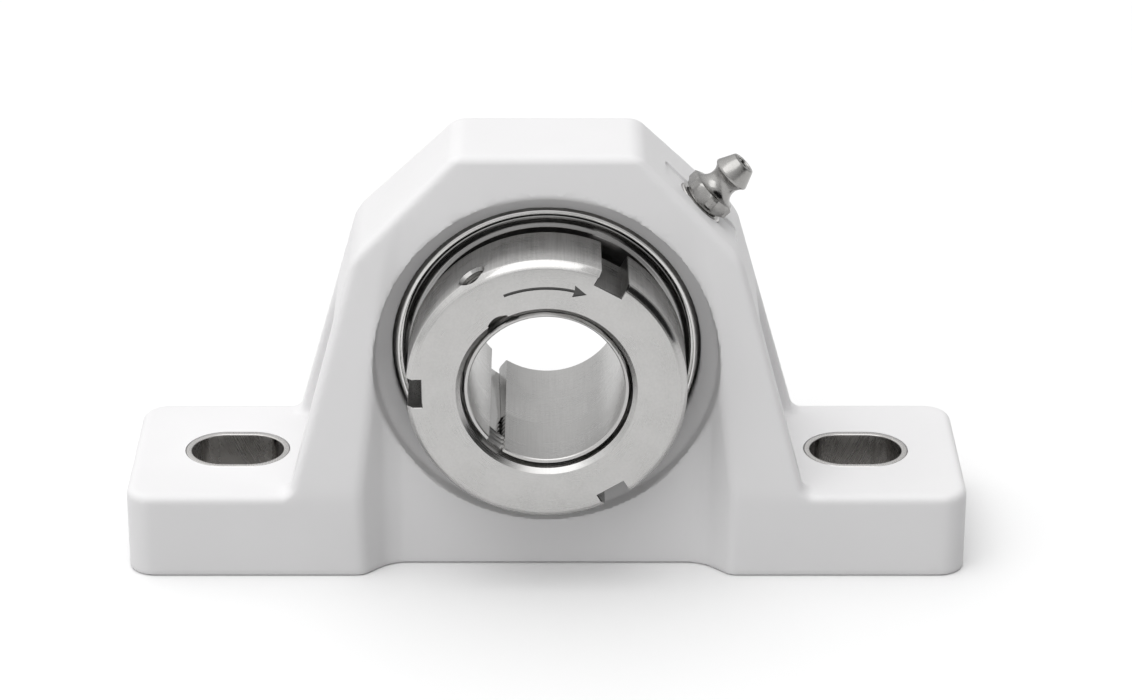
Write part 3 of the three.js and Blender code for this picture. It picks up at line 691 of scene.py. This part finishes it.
def steel_finish(name, grey, roughness, marks=0.12, sheen_streaks=0.05, tint=(1.0, 0.99, 0.975)):
    """Rings: a noise of (radius, along); painted sheen streaks: a noise of (angle, along); clouds: a slow
    noise.
    """
    material, n, shader = new_material(name)
    place, radius, along, angle = lathe_coordinates(n)
    rings = n.scaled_pair(radius, 5400.0, along, 5400.0)
    rings = n.add("TexNoise", Vector=rings, Scale=1.0, Detail=2.0)
    # painted sheen: a noise of (angle, along) whose streaks run along the shaft, standing in for the shine of
    # turning marks
    across = n.scaled_pair(angle, 60.0, along, 90.0)
    across = n.add("TexNoise", Vector=across, Scale=1.0, Detail=3.0)
    clouds = n.add("TexNoise", Vector=place, Scale=170.0, Detail=4.0)
    pits = n.add("TexNoise", Vector=place, Scale=2600.0, Detail=2.0)
    facing = facing_along_shaft(n)
    # the painted sheen streaks lighten and darken the colour on the cylinders only, not on the end faces
    painted_sheen_streak = n.math("MULTIPLY", around(n, across, -sheen_streaks, sheen_streaks), n.math("SUBTRACT", 1.0, facing))
    tone = n.math("ADD", n.math("ADD", painted_sheen_streak, around(n, clouds, -0.05, 0.05)), around(n, rings, -0.02, 0.02))
    tone = n.math("ADD", tone, around(n, pits, 0.97, 1.03))
    colour = n.add("VectorMath", set={"operation": "SCALE"}, i0=tuple(grey * t for t in tint), Scale=tone)
    rough = around(n, rings, roughness - 0.04, roughness + 0.04)
    rough = n.math("ADD", rough, around(n, clouds, -0.04, 0.04))
    chamfer = n.math("ABSOLUTE", n.math("SUBTRACT", facing, 0.707))
    chamfer = n.add("MapRange", i0=chamfer, i1=0.04, i2=0.12, i3=1.0, i4=0.0)
    outer = n.math("GREATER_THAN", radius, 18 * MM)
    polish = n.math("SUBTRACT", 1.0, n.math("MULTIPLY", n.math("MULTIPLY", chamfer, outer), 0.6))
    rough = n.math("MULTIPLY", rough, polish)
    bump = n.add("Bump", Strength=marks, Distance=0.00002, Height=rings)
    bump = n.add("Bump", Strength=marks * 0.6, Distance=0.00002, Height=pits, Normal=bump)
    feed(n, shader, Base_Color=colour, Metallic=1.0, Roughness=rough, Normal=bump)
    return material


turned_stainless = steel_finish("turned_stainless", 0.49, 0.3, 0.16, 0.12)
sleeve_stainless = steel_finish("sleeve_stainless", 0.48, 0.3, 0.1, 0.05)
ground_ring_steel = steel_finish("ground_ring_steel", 0.6, 0.16, 0.05, 0.02)
pressed_stainless = steel_finish("pressed_stainless", 0.3, 0.2, 0.06, 0.02)
polished_ball_steel = steel_finish("polished_ball_steel", 0.8, 0.08, 0.0, 0.0)
spring_steel = steel_finish("spring_steel", 0.42, 0.38, 0.1, 0.04, (1.0, 0.98, 0.95))
drawn_bush_steel = steel_finish("drawn_bush_steel", 0.55, 0.28, 0.03, 0.02, (1.0, 0.98, 0.96))
plated_fitting_steel = steel_finish("plated_fitting_steel", 0.34, 0.26, 0.3, 0.04, (1.0, 0.985, 0.96))
milled_stainless = steel_finish("milled_stainless", 0.3, 0.3, 0.3, 0.1)
etched_mark = steel_finish("etched_mark", 0.1, 0.55, 0.2, 0.0)

# %% Rubber and nylon


def soft_finish(name, colour, roughness, grain, strength):
    """Moulded rubber or nylon: matt, with a fine grain in the bump and a slow change of tone."""
    material, n, shader = new_material(name)
    place = n.add("TexCoord", output=3)
    fine = n.add("TexNoise", Vector=place, Scale=grain, Detail=3.0)
    slow = n.add("TexNoise", Vector=place, Scale=120.0, Detail=2.0)
    dark = tuple(c * 0.88 for c in colour)
    tone = n.ramp(slow, (0.3, dark), (0.7, colour))
    bump = n.add("Bump", Strength=strength, Distance=0.00004, Height=fine)
    rough = around(n, fine, roughness - 0.06, roughness + 0.06)
    feed(n, shader, Base_Color=tone, Roughness=rough, Normal=bump)
    return material


seal_rubber = soft_finish("seal_rubber", (0.018, 0.018, 0.02), 0.6, 2400.0, 0.3)
cage_nylon = soft_finish("cage_nylon", (0.72, 0.66, 0.5), 0.5, 1500.0, 0.2)

# %% Hand each piece its finish and body, and hide the CAD nodes it replaces


def finish_piece(obj, material, body, slot, *nodes):
    """What every piece needs: its finish, the body that it moves with, and the CAD nodes it stands for."""
    if not obj.data.materials:
        obj.data.materials.append(material)
    for i, own in enumerate(obj.data.materials):
        obj.data.materials[i] = own or material
    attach(obj, body)
    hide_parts(*nodes)
    return obj


finish_piece(housing, white_polymer, "housing", "white_polymer", "housing")

# %% [markdown]
# ## Bolt bushes
#
# A stainless bush lines each bolt slot, so that the bolt's head doesn't crush the polymer. It is bent from
# strip: the wall's section, with broken corners, is carried round the slot's outline. The outline is made of
# two half circles, and a point that sits further out in the wall simply has a larger half circle.

# %% Bolt bushes
BUSH_INSIDE_RADIUS, BUSH_WALL = 5.7, 1.0
SLOT_STRAIGHT = 15.6 / 2 - BUSH_INSIDE_RADIUS


def bolt_bush(name, side):
    section = broken([(0, 0.1), (BUSH_WALL, 0.1), (BUSH_WALL, FOOT_HEIGHT), (0, FOOT_HEIGHT)], 0.22)
    turn = np.concatenate([np.linspace(-90, 90, 33), np.linspace(90, 270, 33)])
    shift = np.repeat([SLOT_STRAIGHT, -SLOT_STRAIGHT], 33)
    turn = np.radians(turn)[:, None]
    radius = BUSH_INSIDE_RADIUS + section[None, :, 0]
    x = side * BOLT_HALF_SPACING + shift[:, None] + radius * np.cos(turn)
    y = radius * np.sin(turn)
    z = section[None, :, 1] + 0 * turn
    points = np.stack([x, y, z], -1).reshape(-1, 3)
    bush = make_object(name, points, [grid_faces(len(turn), len(section), True, True)])
    return bush


for side, word in ((-1, "left"), (1, "right")):
    bush = bolt_bush(f"bolt_bush_{word}_drawn", side)
    finish_piece(bush, drawn_bush_steel, "housing", "stainless", f"bolt_bush_{word}")

# %% [markdown]
# ## Grease port and fitting
#
# A threaded metal insert is moulded into the shoulder, and the grease fitting is screwed into it. The fitting
# is one lathe outline. Its hexagon needs no second body: the radius of every point is capped by the distance
# to the hexagon's flats in that direction, and only the collar is wide enough to be touched by the cap.

# %% Grease port insert and fitting
INSERT_FLOOR = 28.05
HEX_HALF_WIDTH = 7.94 / 2
FITTING_TOP = CHAMFER_REACH + 9.6
BRIM = FITTING_TOP - 2.85
HEX_BOTTOM = CHAMFER_REACH + 0.65
HEX_TOP = HEX_BOTTOM + 2.3
port = spoke(45, PORT_Y, PORT_OFFSET)


def hexagon_cap(radius, along, angle):
    """The radius, or half the width across flats over the cosine of the angle from a flat if that is less."""
    from_flat = (angle + np.pi / 6) % (np.pi / 3) - np.pi / 6
    return np.minimum(radius, HEX_HALF_WIDTH / np.cos(from_flat) + 0 * radius)


def fitting_outline():
    """From the shank up: collar, trumpet neck, head with a sharp brim, and the ball's seat in the tip."""
    neck = arc_points((4.55, HEX_TOP + 1.9), 2.1, -118, -180, 10)
    under_head = arc_points((4.55, HEX_TOP + 1.96), 2.1, 180, 128, 8)
    return np.concatenate(
        [
            [(1.1, 29.9), (2.9, 29.9), (3.1, 30.1), (3.1, HEX_BOTTOM - 0.05), (3.95, HEX_BOTTOM)],
            [(4.62, HEX_BOTTOM + 0.4), (4.62, HEX_TOP - 0.4), (3.95, HEX_TOP - 0.05), (3.75, HEX_TOP)],
            neck,
            under_head,
            [(3.26, BRIM - 0.15), (3.3, BRIM), (3.27, BRIM + 0.2), (2.2, FITTING_TOP - 0.25)],
            [(2.08, FITTING_TOP - 0.07), (1.9, FITTING_TOP)],
            [(1.5, FITTING_TOP), (1.42, FITTING_TOP - 0.18), (1.1, FITTING_TOP - 0.2)],
            [(0.86, FITTING_TOP - 0.1), (0.72, FITTING_TOP - 0.25), (0.7, FITTING_TOP - 0.8)],
            [(1.1, FITTING_TOP - 1.3)],
        ]
    )


insert_corners = [(3.3, INSERT_FLOOR), (4.3, INSERT_FLOOR), (4.3, 35.33), (3.3, 35.33)]
insert_outline = broken(insert_corners, [0.1, 0.1, 0.3, 0.35])
port_insert = turned("grease_port_bush", insert_outline, port, 96)
finish_piece(port_insert, drawn_bush_steel, "housing", "stainless", "grease_port_insert")
fitting = turned("grease_fitting_turned", fitting_outline(), port, 144, hexagon_cap)
finish_piece(fitting, plated_fitting_steel, "housing", "stainless", "grease_fitting_body")

# %% [markdown]
# The check ball closes the tip from inside, and a coiled spring holds it there. A ball is a grid of rings
# between two poles, each pole closed by a fan of triangles. The spring is a tube whose centre line climbs as
# it goes round, and whose two ends are closed.

# %% Balls and the spring
BALL_SEAT = FITTING_TOP - 1.6
SPRING_FOOT = 32.85


def ball(name, centre, radius, rings=24, sides=48):
    """Ring k is at polar angle pi k / rings: its radius is r sin, its height r cos; the poles are points."""
    polar = np.linspace(0, np.pi, rings + 1)[1:-1, None]
    turn = np.linspace(0, 2 * np.pi, sides, endpoint=False)[None, :]
    x, y, z = np.sin(polar) * np.cos(turn), np.sin(polar) * np.sin(turn), np.cos(polar) + 0 * turn
    skin = np.stack([x, y, z], -1).reshape(-1, 3)
    points = np.concatenate([skin, [(0, 0, 1), (0, 0, -1)]]) * radius + np.asarray(centre)
    step, last = np.arange(sides), (rings - 2) * sides
    north, south = np.full(sides, len(skin)), np.full(sides, len(skin) + 1)
    caps = [
        np.stack([north, step, (step + 1) % sides], -1),
        np.stack([south, last + (step + 1) % sides, last + step], -1),
    ]
    quads = grid_faces(rings - 1, sides, close_columns=True)[:, ::-1]
    return make_object(name, points, [quads, *caps])


def coil(name, place, radius, low, high, turns, wire, steps=24, sides=10):
    """The centre line is (r cos a, r sin a, rise a); the wire's circle spans the ways outward and upward."""
    a = np.linspace(0, 2 * np.pi * turns, int(steps * turns))[:, None]
    around_wire = np.linspace(0, 2 * np.pi, sides, endpoint=False)[None, :]
    reach = low + (high - low) * a / a[-1]
    points = place(radius + wire * np.cos(around_wire), reach + wire * np.sin(around_wire), a)
    n = sides * len(a)
    ends = np.array([np.arange(sides)[::-1], np.arange(n - sides, n)])
    return make_object(name, points.reshape(-1, 3), [grid_faces(len(a), sides, close_columns=True), ends], 60)


check_ball_place = port(np.zeros(1), np.full(1, BALL_SEAT), np.zeros(1))[0]
check_ball = ball("grease_check_ball_polished", check_ball_place, 1.0, 20, 32)
finish_piece(check_ball, polished_ball_steel, "check_ball", "bright_steel", "grease_check_ball")
check_spring = coil("grease_check_coil", port, 0.74, SPRING_FOOT, BALL_SEAT - 0.96, 4, 0.16)
finish_piece(check_spring, spring_steel, "housing", "spring_steel", "grease_check_spring")
spring_foot = port(np.zeros(1), np.full(1, SPRING_FOOT), np.zeros(1))[0] * MM
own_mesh(check_spring)

# %% [markdown]
# ## The bearing insert
#
# The outer ring is a slice of a ball, with a groove that the grease runs round in and a small hole that lets
# it through. Between the rings run nine balls in a nylon cage. Each side is closed by a rubber-covered shell
# with a lip, and outside that a flinger turns with the inner ring and throws dirt off. The flinger's rim is
# beaded, which shows as a bright line between two dark ones in the gap around the lock nut.

# %% Outer and inner ring
RACE_RADIUS, PITCH_RADIUS = 4.01, 19.5
BALL_RADIUS = 3.95
RING_HALF = 7.5


def mirrored_outline(points):
    """The same points in reverse order on the other side of the middle."""
    return [(radius, -y) for radius, y in reversed(points)]


def outer_ring_outline():
    edge = math.degrees(math.asin(RING_HALF / INSERT_RADIUS))
    groove = [math.degrees(math.asin(y / INSERT_RADIUS)) for y in (-3.1, -1.7)]
    race = math.degrees(math.acos((OUTER_LAND - PITCH_RADIUS) / RACE_RADIUS))
    rim = [(24.72, RING_HALF), (24.36, RING_HALF), (24.29, 7.42), (24.29, 5.85), (23.29, 5.85)]
    bore = rim + [(23.29, 5.15), (OUTER_LAND, 5.15)]
    return np.concatenate(
        [
            arc_points((0, 0), INSERT_RADIUS, -edge + 0.3, groove[0], 14),
            [(25.1, -3.0), (25.1, -1.8)],
            arc_points((0, 0), INSERT_RADIUS, groove[1], edge - 0.3, 24),
            bore,
            arc_points((PITCH_RADIUS, 0), RACE_RADIUS, race, -race, 24),
            mirrored_outline(bore),
        ]
    )


def inner_ring_outline():
    race = math.degrees(math.acos((PITCH_RADIUS - INNER_LAND) / RACE_RADIUS))
    groove = [(INNER_LAND, -13.35), (16.6, -13.35), (16.6, -14.45), (INNER_LAND, -14.45)]
    front = [(INNER_LAND, -15.9), (17.1, -16.2), (14.3, -16.2), (14.1, -16.0), (14.1, -10.0), (13.96, -9.0)]
    return np.concatenate(
        [
            [(INNER_LAND, 9.7)],
            arc_points((PITCH_RADIUS, 0), RACE_RADIUS, 180 - race, 180 + race, 24),
            groove,
            front,
            [(14.74, 9.8), (14.95, 10.0), (17.1, 10.0)],
        ]
    )


PIN_RADIUS, PIN_FOOT, PIN_TOP = 1.5, 24.9, 27.5
outer_ring = turned("outer_ring_ground", outer_ring_outline(), sides=240)
grease_way = turned("way", rod(0.6, 21, 27), port, 20)
pin_hole = turned("hole", rod(PIN_RADIUS + 0.05, PIN_FOOT - 0.1, 30), spoke(90, 0), 40)
cut(outer_ring, [grease_way, pin_hole])
finish_piece(outer_ring, ground_ring_steel, "outer_ring", "ring_steel", "outer_ring")
inner_ring = turned("inner_ring_ground", inner_ring_outline(), sides=180)
finish_piece(inner_ring, ground_ring_steel, "inner_ring", "ring_steel", "inner_ring")
pin_outline = broken(rod(PIN_RADIUS, PIN_FOOT, PIN_TOP), [0, 0.2, 0.3, 0])
pin = turned("anti_rotation_pin_turned", pin_outline, spoke(90, 0), 48)
finish_piece(pin, turned_stainless, "anti_rotation_pin", "stainless", "anti_rotation_pin")

# %% Balls and cage
BALL_COUNT = 9


def ball_centre(i):
    return around_shaft(np.full(1, PITCH_RADIUS), np.zeros(1), np.full(1, math.radians(90 + 40 * i)))[0]


cage_outline = broken([(18.1, -1.8), (20.9, -1.8), (20.9, 4.9), (18.1, 4.9)], 0.3)
cage = turned("ball_cage_moulded", cage_outline, sides=144)
cut(cage, [ball(f"pocket_{i}", ball_centre(i), BALL_RADIUS + 0.2) for i in range(BALL_COUNT)])
finish_piece(cage, cage_nylon, "cage", "nylon", "ball_cage")
for i in range(BALL_COUNT):
    rolling = ball(f"ball_{i + 1}_polished", ball_centre(i), BALL_RADIUS, 28, 56)
    finish_piece(rolling, polished_ball_steel, "cage", "bright_steel", f"ball_{i + 1}")

# %% Seals and flingers


def both_sides(outline, side):
    """The outline is given for the rear side; the front one is its mirror image."""
    outline = np.asarray(outline, float)
    return outline * (1, side)


SHELL = [(18.62, 5.25), (20.2, 5.25), (20.6, 5.35), (22.6, 5.35), (23.0, 5.25), (23.25, 5.25), (23.25, 5.7)]
SHELL += [(23.1, 5.75), (20.3, 5.75), (19.9, 5.65), (18.62, 5.65)]
LIP = [(17.54, 5.3), (17.8, 5.25), (18.58, 5.25), (18.58, 5.72), (18.3, 5.75), (17.9, 5.7), (17.6, 5.55)]
FLINGER = [(17.43, 6.4), (23.6, 6.4), (23.88, 6.5), (23.95, 6.75), (23.86, 7.0), (23.7, 7.08), (23.5, 7.0)]
FLINGER += [(23.2, 6.86), (22.6, 6.82), (22.3, 6.9), (22.0, 7.08), (21.7, 7.1), (17.43, 7.1)]
for side, word in ((-1, "front"), (1, "rear")):
    shell = turned(f"{word}_seal_shell_pressed", both_sides(SHELL, side), sides=180)
    finish_piece(shell, seal_rubber, "outer_ring", "rubber", f"{word}_seal_shell")
    lip = turned(f"{word}_seal_lip_moulded", both_sides(LIP, side), sides=160)
    finish_piece(lip, seal_rubber, "outer_ring", "rubber", f"{word}_seal_lip")
    flinger = turned(f"{word}_flinger_pressed", both_sides(FLINGER, side), sides=220)
    finish_piece(flinger, pressed_stainless, "inner_ring", "stainless", f"{word}_flinger")

# %% [markdown]
# ## Sleeve and lock nut
#
# The sleeve is a thin tube: threaded in front, tapered behind, and split along its whole length so that it
# can close on the shaft. Its thread is a real helix. At each point the radius follows a saw-toothed wave of
# (distance along / pitch + angle / one turn), so one turn moves the wave on by one pitch. The nut's thread is
# the same wave with a little more radius, which keeps the two in mesh as the nut turns and the sleeve slides.
#
# The walls of the slit are parallel, so the angle that it takes away is larger on the inside than on the
# outside: it is the arc sine of half the slit's width over the radius.

# %% The thread and a split tube


def thread_wave(along, angle):
    """0 at the root and 1 at the crest, by a triangle of the phase, with both cut a little flat."""
    phase = (along / THREAD_PITCH + angle / (2 * np.pi)) % 1.0
    return np.clip((1 - np.abs(2 * phase - 1)) * 1.25 - 0.125, 0, 1)


def split_tube(name, stations, outside, inside, gap, skin_finish, wall_finish, steps=220, smooth_degrees=32):
    """outside and inside give a radius for (y, angle). Rows go round from one slit wall to the other."""
    share = np.linspace(0, 1, steps + 1)[:, None]
    along = np.asarray(stations, float)[None, :]

    def skin(radius_at):
        half = np.arcsin(gap / 2 / radius_at(along, 0 * share))
        angle = SLIT_ANGLE + half + share * (2 * np.pi - 2 * half)
        return around_shaft(radius_at(along, angle), along + 0 * share, angle)

    n = along.shape[1]
    rows = np.concatenate([skin(outside), skin(inside)[:, ::-1]], 1)
    first, last = np.arange(n - 1), np.arange(n - 1) + steps * 2 * n
    walls = [
        np.stack([start, start + 1, end_of - 1, end_of], -1)
        for start, end_of in ((first, 2 * n - 1 - first), (last, 2 * n - 1 - first + steps * 2 * n))
    ]
    around_faces = grid_faces(steps + 1, 2 * n, close_columns=True)
    tube = make_object(name, rows.reshape(-1, 3), [around_faces, walls[0][:, ::-1], walls[1]], smooth_degrees)
    index = np.zeros(len(tube.data.polygons), np.int32)
    index[len(around_faces) :] = 1
    for material in (skin_finish, wall_finish):
        tube.data.materials.append(material)
    tube.data.polygons.foreach_set("material_index", index)
    return tube


# %% Sleeve and snap ring


def sleeve_outside(along, angle):
    """A plain lead, the thread with its run-out, a taper of 1 in 24, and a chamfer at each end."""
    ending = np.clip((THREAD_END - along) / 1.2, 0, 1)
    threaded = SLEEVE_THREAD_ROOT + THREAD_DEPTH * np.maximum(thread_wave(along, angle), 1 - ending)
    taper = 13.9 + (along - THREAD_END) / 24
    radius = np.where(along < THREAD_END, threaded, taper)
    lead = np.maximum(13.45, 13.45 + (along - SLEEVE_FRONT - 1.5) * 0.6)
    chamfer = np.minimum(13.32 + (along - SLEEVE_FRONT), 14.3 + (SLEEVE_REAR - along))
    return np.minimum(np.minimum(radius, lead), chamfer)


def sleeve_inside(along, angle):
    """The bore, with its two mouths opened by a small chamfer."""
    mouth = np.maximum(0.16 - (along - SLEEVE_FRONT), 0.3 - (SLEEVE_REAR - along))
    return BORE_RADIUS + np.maximum(mouth, 0) + 0 * angle


threaded_stations = np.arange(SLEEVE_FRONT, THREAD_END + 0.1, THREAD_PITCH / 10)
tapered_stations = [THREAD_END, 0, 6, 11.6, 11.9, 12.05, SLEEVE_REAR]
sleeve_stations = np.unique(np.concatenate([threaded_stations, tapered_stations]))
sleeve = split_tube(
    "adapter_sleeve_split",
    sleeve_stations,
    sleeve_outside,
    sleeve_inside,
    SLIT_WIDTH,
    sleeve_stainless,
    milled_stainless,
)
finish_piece(sleeve, sleeve_stainless, "sleeve", "stainless", "adapter_sleeve")

snap_stations = [-14.35, -14.25, -13.9, -13.55, -13.45]
snap_ring = split_tube(
    "nut_snap_ring",
    snap_stations,
    lambda along, angle: 18.6 - np.maximum(np.abs(along + 13.9) - 0.35, 0) + 0 * angle,
    lambda along, angle: 16.7 + np.maximum(np.abs(along + 13.9) - 0.35, 0) + 0 * angle,
    3.0,
    spring_steel,
    spring_steel,
)
finish_piece(snap_ring, spring_steel, "inner_ring", "spring_steel", "nut_retaining_ring")

# %% [markdown]
# The lock nut is turned, bored and threaded, then milled and drilled. Three slots take a hook spanner. A slot
# cutter is a box whose sides flare out just where they leave the metal, so the slot's rims come out with a
# fine chamfer and catch the light. A tapped hole takes the set screw that locks the nut to the sleeve. It
# lies so near the mouth that it breaks into the chamfer there. An arrow engraved on the face shows which way
# tightens the nut.

# %% Lock nut body and cutters
SLOT_FLOOR, SLOT_HALF_WIDTH = 20.25, 2.45
SCREW_ANGLE, SCREW_Y = 122, -21.3
NUT_THREAD_BORE, NUT_THREAD_TOP = 13.12, 14.0


def nut_outline():
    thread = [(13.97, y) for y in np.arange(NUT_FRONT, -16.45, THREAD_PITCH / 12)]
    back = [(17.9, -16.45), (18.0, -16.35), (18.0, -14.45), (18.9, -14.45), (18.9, -13.35)]
    back += [(18.0, -13.35), (18.0, -11.6)]
    rim = [(18.4, NUT_REAR), (22.35, NUT_REAR), (NUT_RADIUS, -11.7)]
    front = [(NUT_RADIUS, -18.0), (NUT_RADIUS, -22.9), (22.81, -23.0), (21.75, -24.05), (21.6, NUT_FRONT)]
    return thread + back + rim + front + [(18.0, NUT_FRONT)]


def nut_radius(radius, along, angle):
    """In the bore the thread's wave, opened to a cone at the mouth; elsewhere the outline's own radius."""
    depth = along - NUT_FRONT
    threaded = NUT_THREAD_BORE + THREAD_DEPTH * thread_wave(along, angle)
    mouth = np.maximum(14.75 - depth, np.minimum(NUT_THREAD_TOP, NUT_THREAD_TOP - (depth - 2.6)))
    return np.where(radius < NUT_THREAD_TOP, np.maximum(threaded, mouth), radius + 0 * angle)


def spanner_slot_cutter(degrees, flare=0.13):
    """A box lofted along the shaft, which widens at 45 degrees past each end face and past the rim."""
    section = np.array([(-1, 0), (1, 0), (1, 1), (1, 2), (-1, 2), (-1, 1)], float)
    reach = np.array([SLOT_FLOOR, 22.62, 25.0])[section[:, 1].astype(int)]
    wide = np.array([0, 0, 2.38])[section[:, 1].astype(int)]
    stations = np.array([NUT_FRONT - 1, NUT_FRONT + flare, NUT_REAR - flare, NUT_REAR + 1])[:, None]
    grow = np.array([1 + flare, 0, 0, 1 + flare])[:, None]
    across = section[None, :, 0] * (SLOT_HALF_WIDTH + wide + grow)
    out = reach[None, :] - grow * (section[None, :, 1] == 0)
    turn = math.radians(degrees)
    x = out * math.cos(turn) - across * math.sin(turn)
    z = out * math.sin(turn) + across * math.cos(turn) + SHAFT_HEIGHT
    points = np.stack([x, stations + 0 * x, z], -1).reshape(-1, 3)
    ends = np.array([np.arange(6)[::-1], np.arange(18, 24)])
    return make_object(f"slot_{degrees}", points, [grid_faces(4, 6, close_columns=True), ends])


def arrow_cutter(middle_radius=18.3, start=112, end=76, half=0.24, depth=0.16):
    """An arc as wide as an engraving tool, ending in an arrow head that points to the tightening side."""
    outer = arc_points((0, 0), middle_radius + half, start, end, 30)
    inner = arc_points((0, 0), middle_radius - half, end, start, 30)
    head = [
        ((middle_radius + d) * math.cos(math.radians(a)), (middle_radius + d) * math.sin(math.radians(a)))
        for d, a in ((1.05, end + 0.4), (0, end - 6.5), (-1.05, end + 0.4))
    ]
    outline = np.concatenate([outer, head, inner])
    cutter = prism("arrow", outline, NUT_FRONT - 1, NUT_FRONT + depth, facing_front)
    cutter.data.materials.append(etched_mark)
    return cutter


def screw_hole_cutter():
    mouth = [(0.001, 11.9), (3.35, 11.9), (3.35, 14.9), (2.0, 16.4)]
    outline = mouth + [(2.0, 22.2), (2.45, 22.75), (2.45, 26), (0.001, 26)]
    return turned("screw_hole", outline, spoke(SCREW_ANGLE, SCREW_Y), 64)


# %% Make the lock nut and its set screw
lock_nut = turned("lock_nut_turned", nut_outline(), sides=240, radius_at=nut_radius)
nut_cutters = [spanner_slot_cutter(degrees) for degrees in (61, 181, 301)] + [screw_hole_cutter()]
for cutter in nut_cutters:
    cutter.data.materials.append(milled_stainless)
cut(lock_nut, [*nut_cutters, arrow_cutter()], 30)
finish_piece(lock_nut, turned_stainless, "lock_nut", "stainless", "lock_nut")

screw_corners = [(0.001, 15.45), (1.4, 15.45), (1.85, 16.1), (1.85, 21.65), (0.001, 21.65)]
screw_outline = broken(screw_corners, [0, 0.1, 0.1, 0.25, 0])
set_screw = turned("nut_set_screw_turned", screw_outline, spoke(SCREW_ANGLE, SCREW_Y), 48)
corner = np.radians(np.arange(0, 360, 60))
socket = prism(
    "socket",
    np.stack([np.cos(corner), np.sin(corner)], -1) * 1.05,
    19.85,
    23.0,
    square_to_spoke(SCREW_ANGLE, SCREW_Y),
)
cut(set_screw, [socket])
finish_piece(set_screw, spring_steel, "set_screw", "spring_steel", "nut_set_screw")
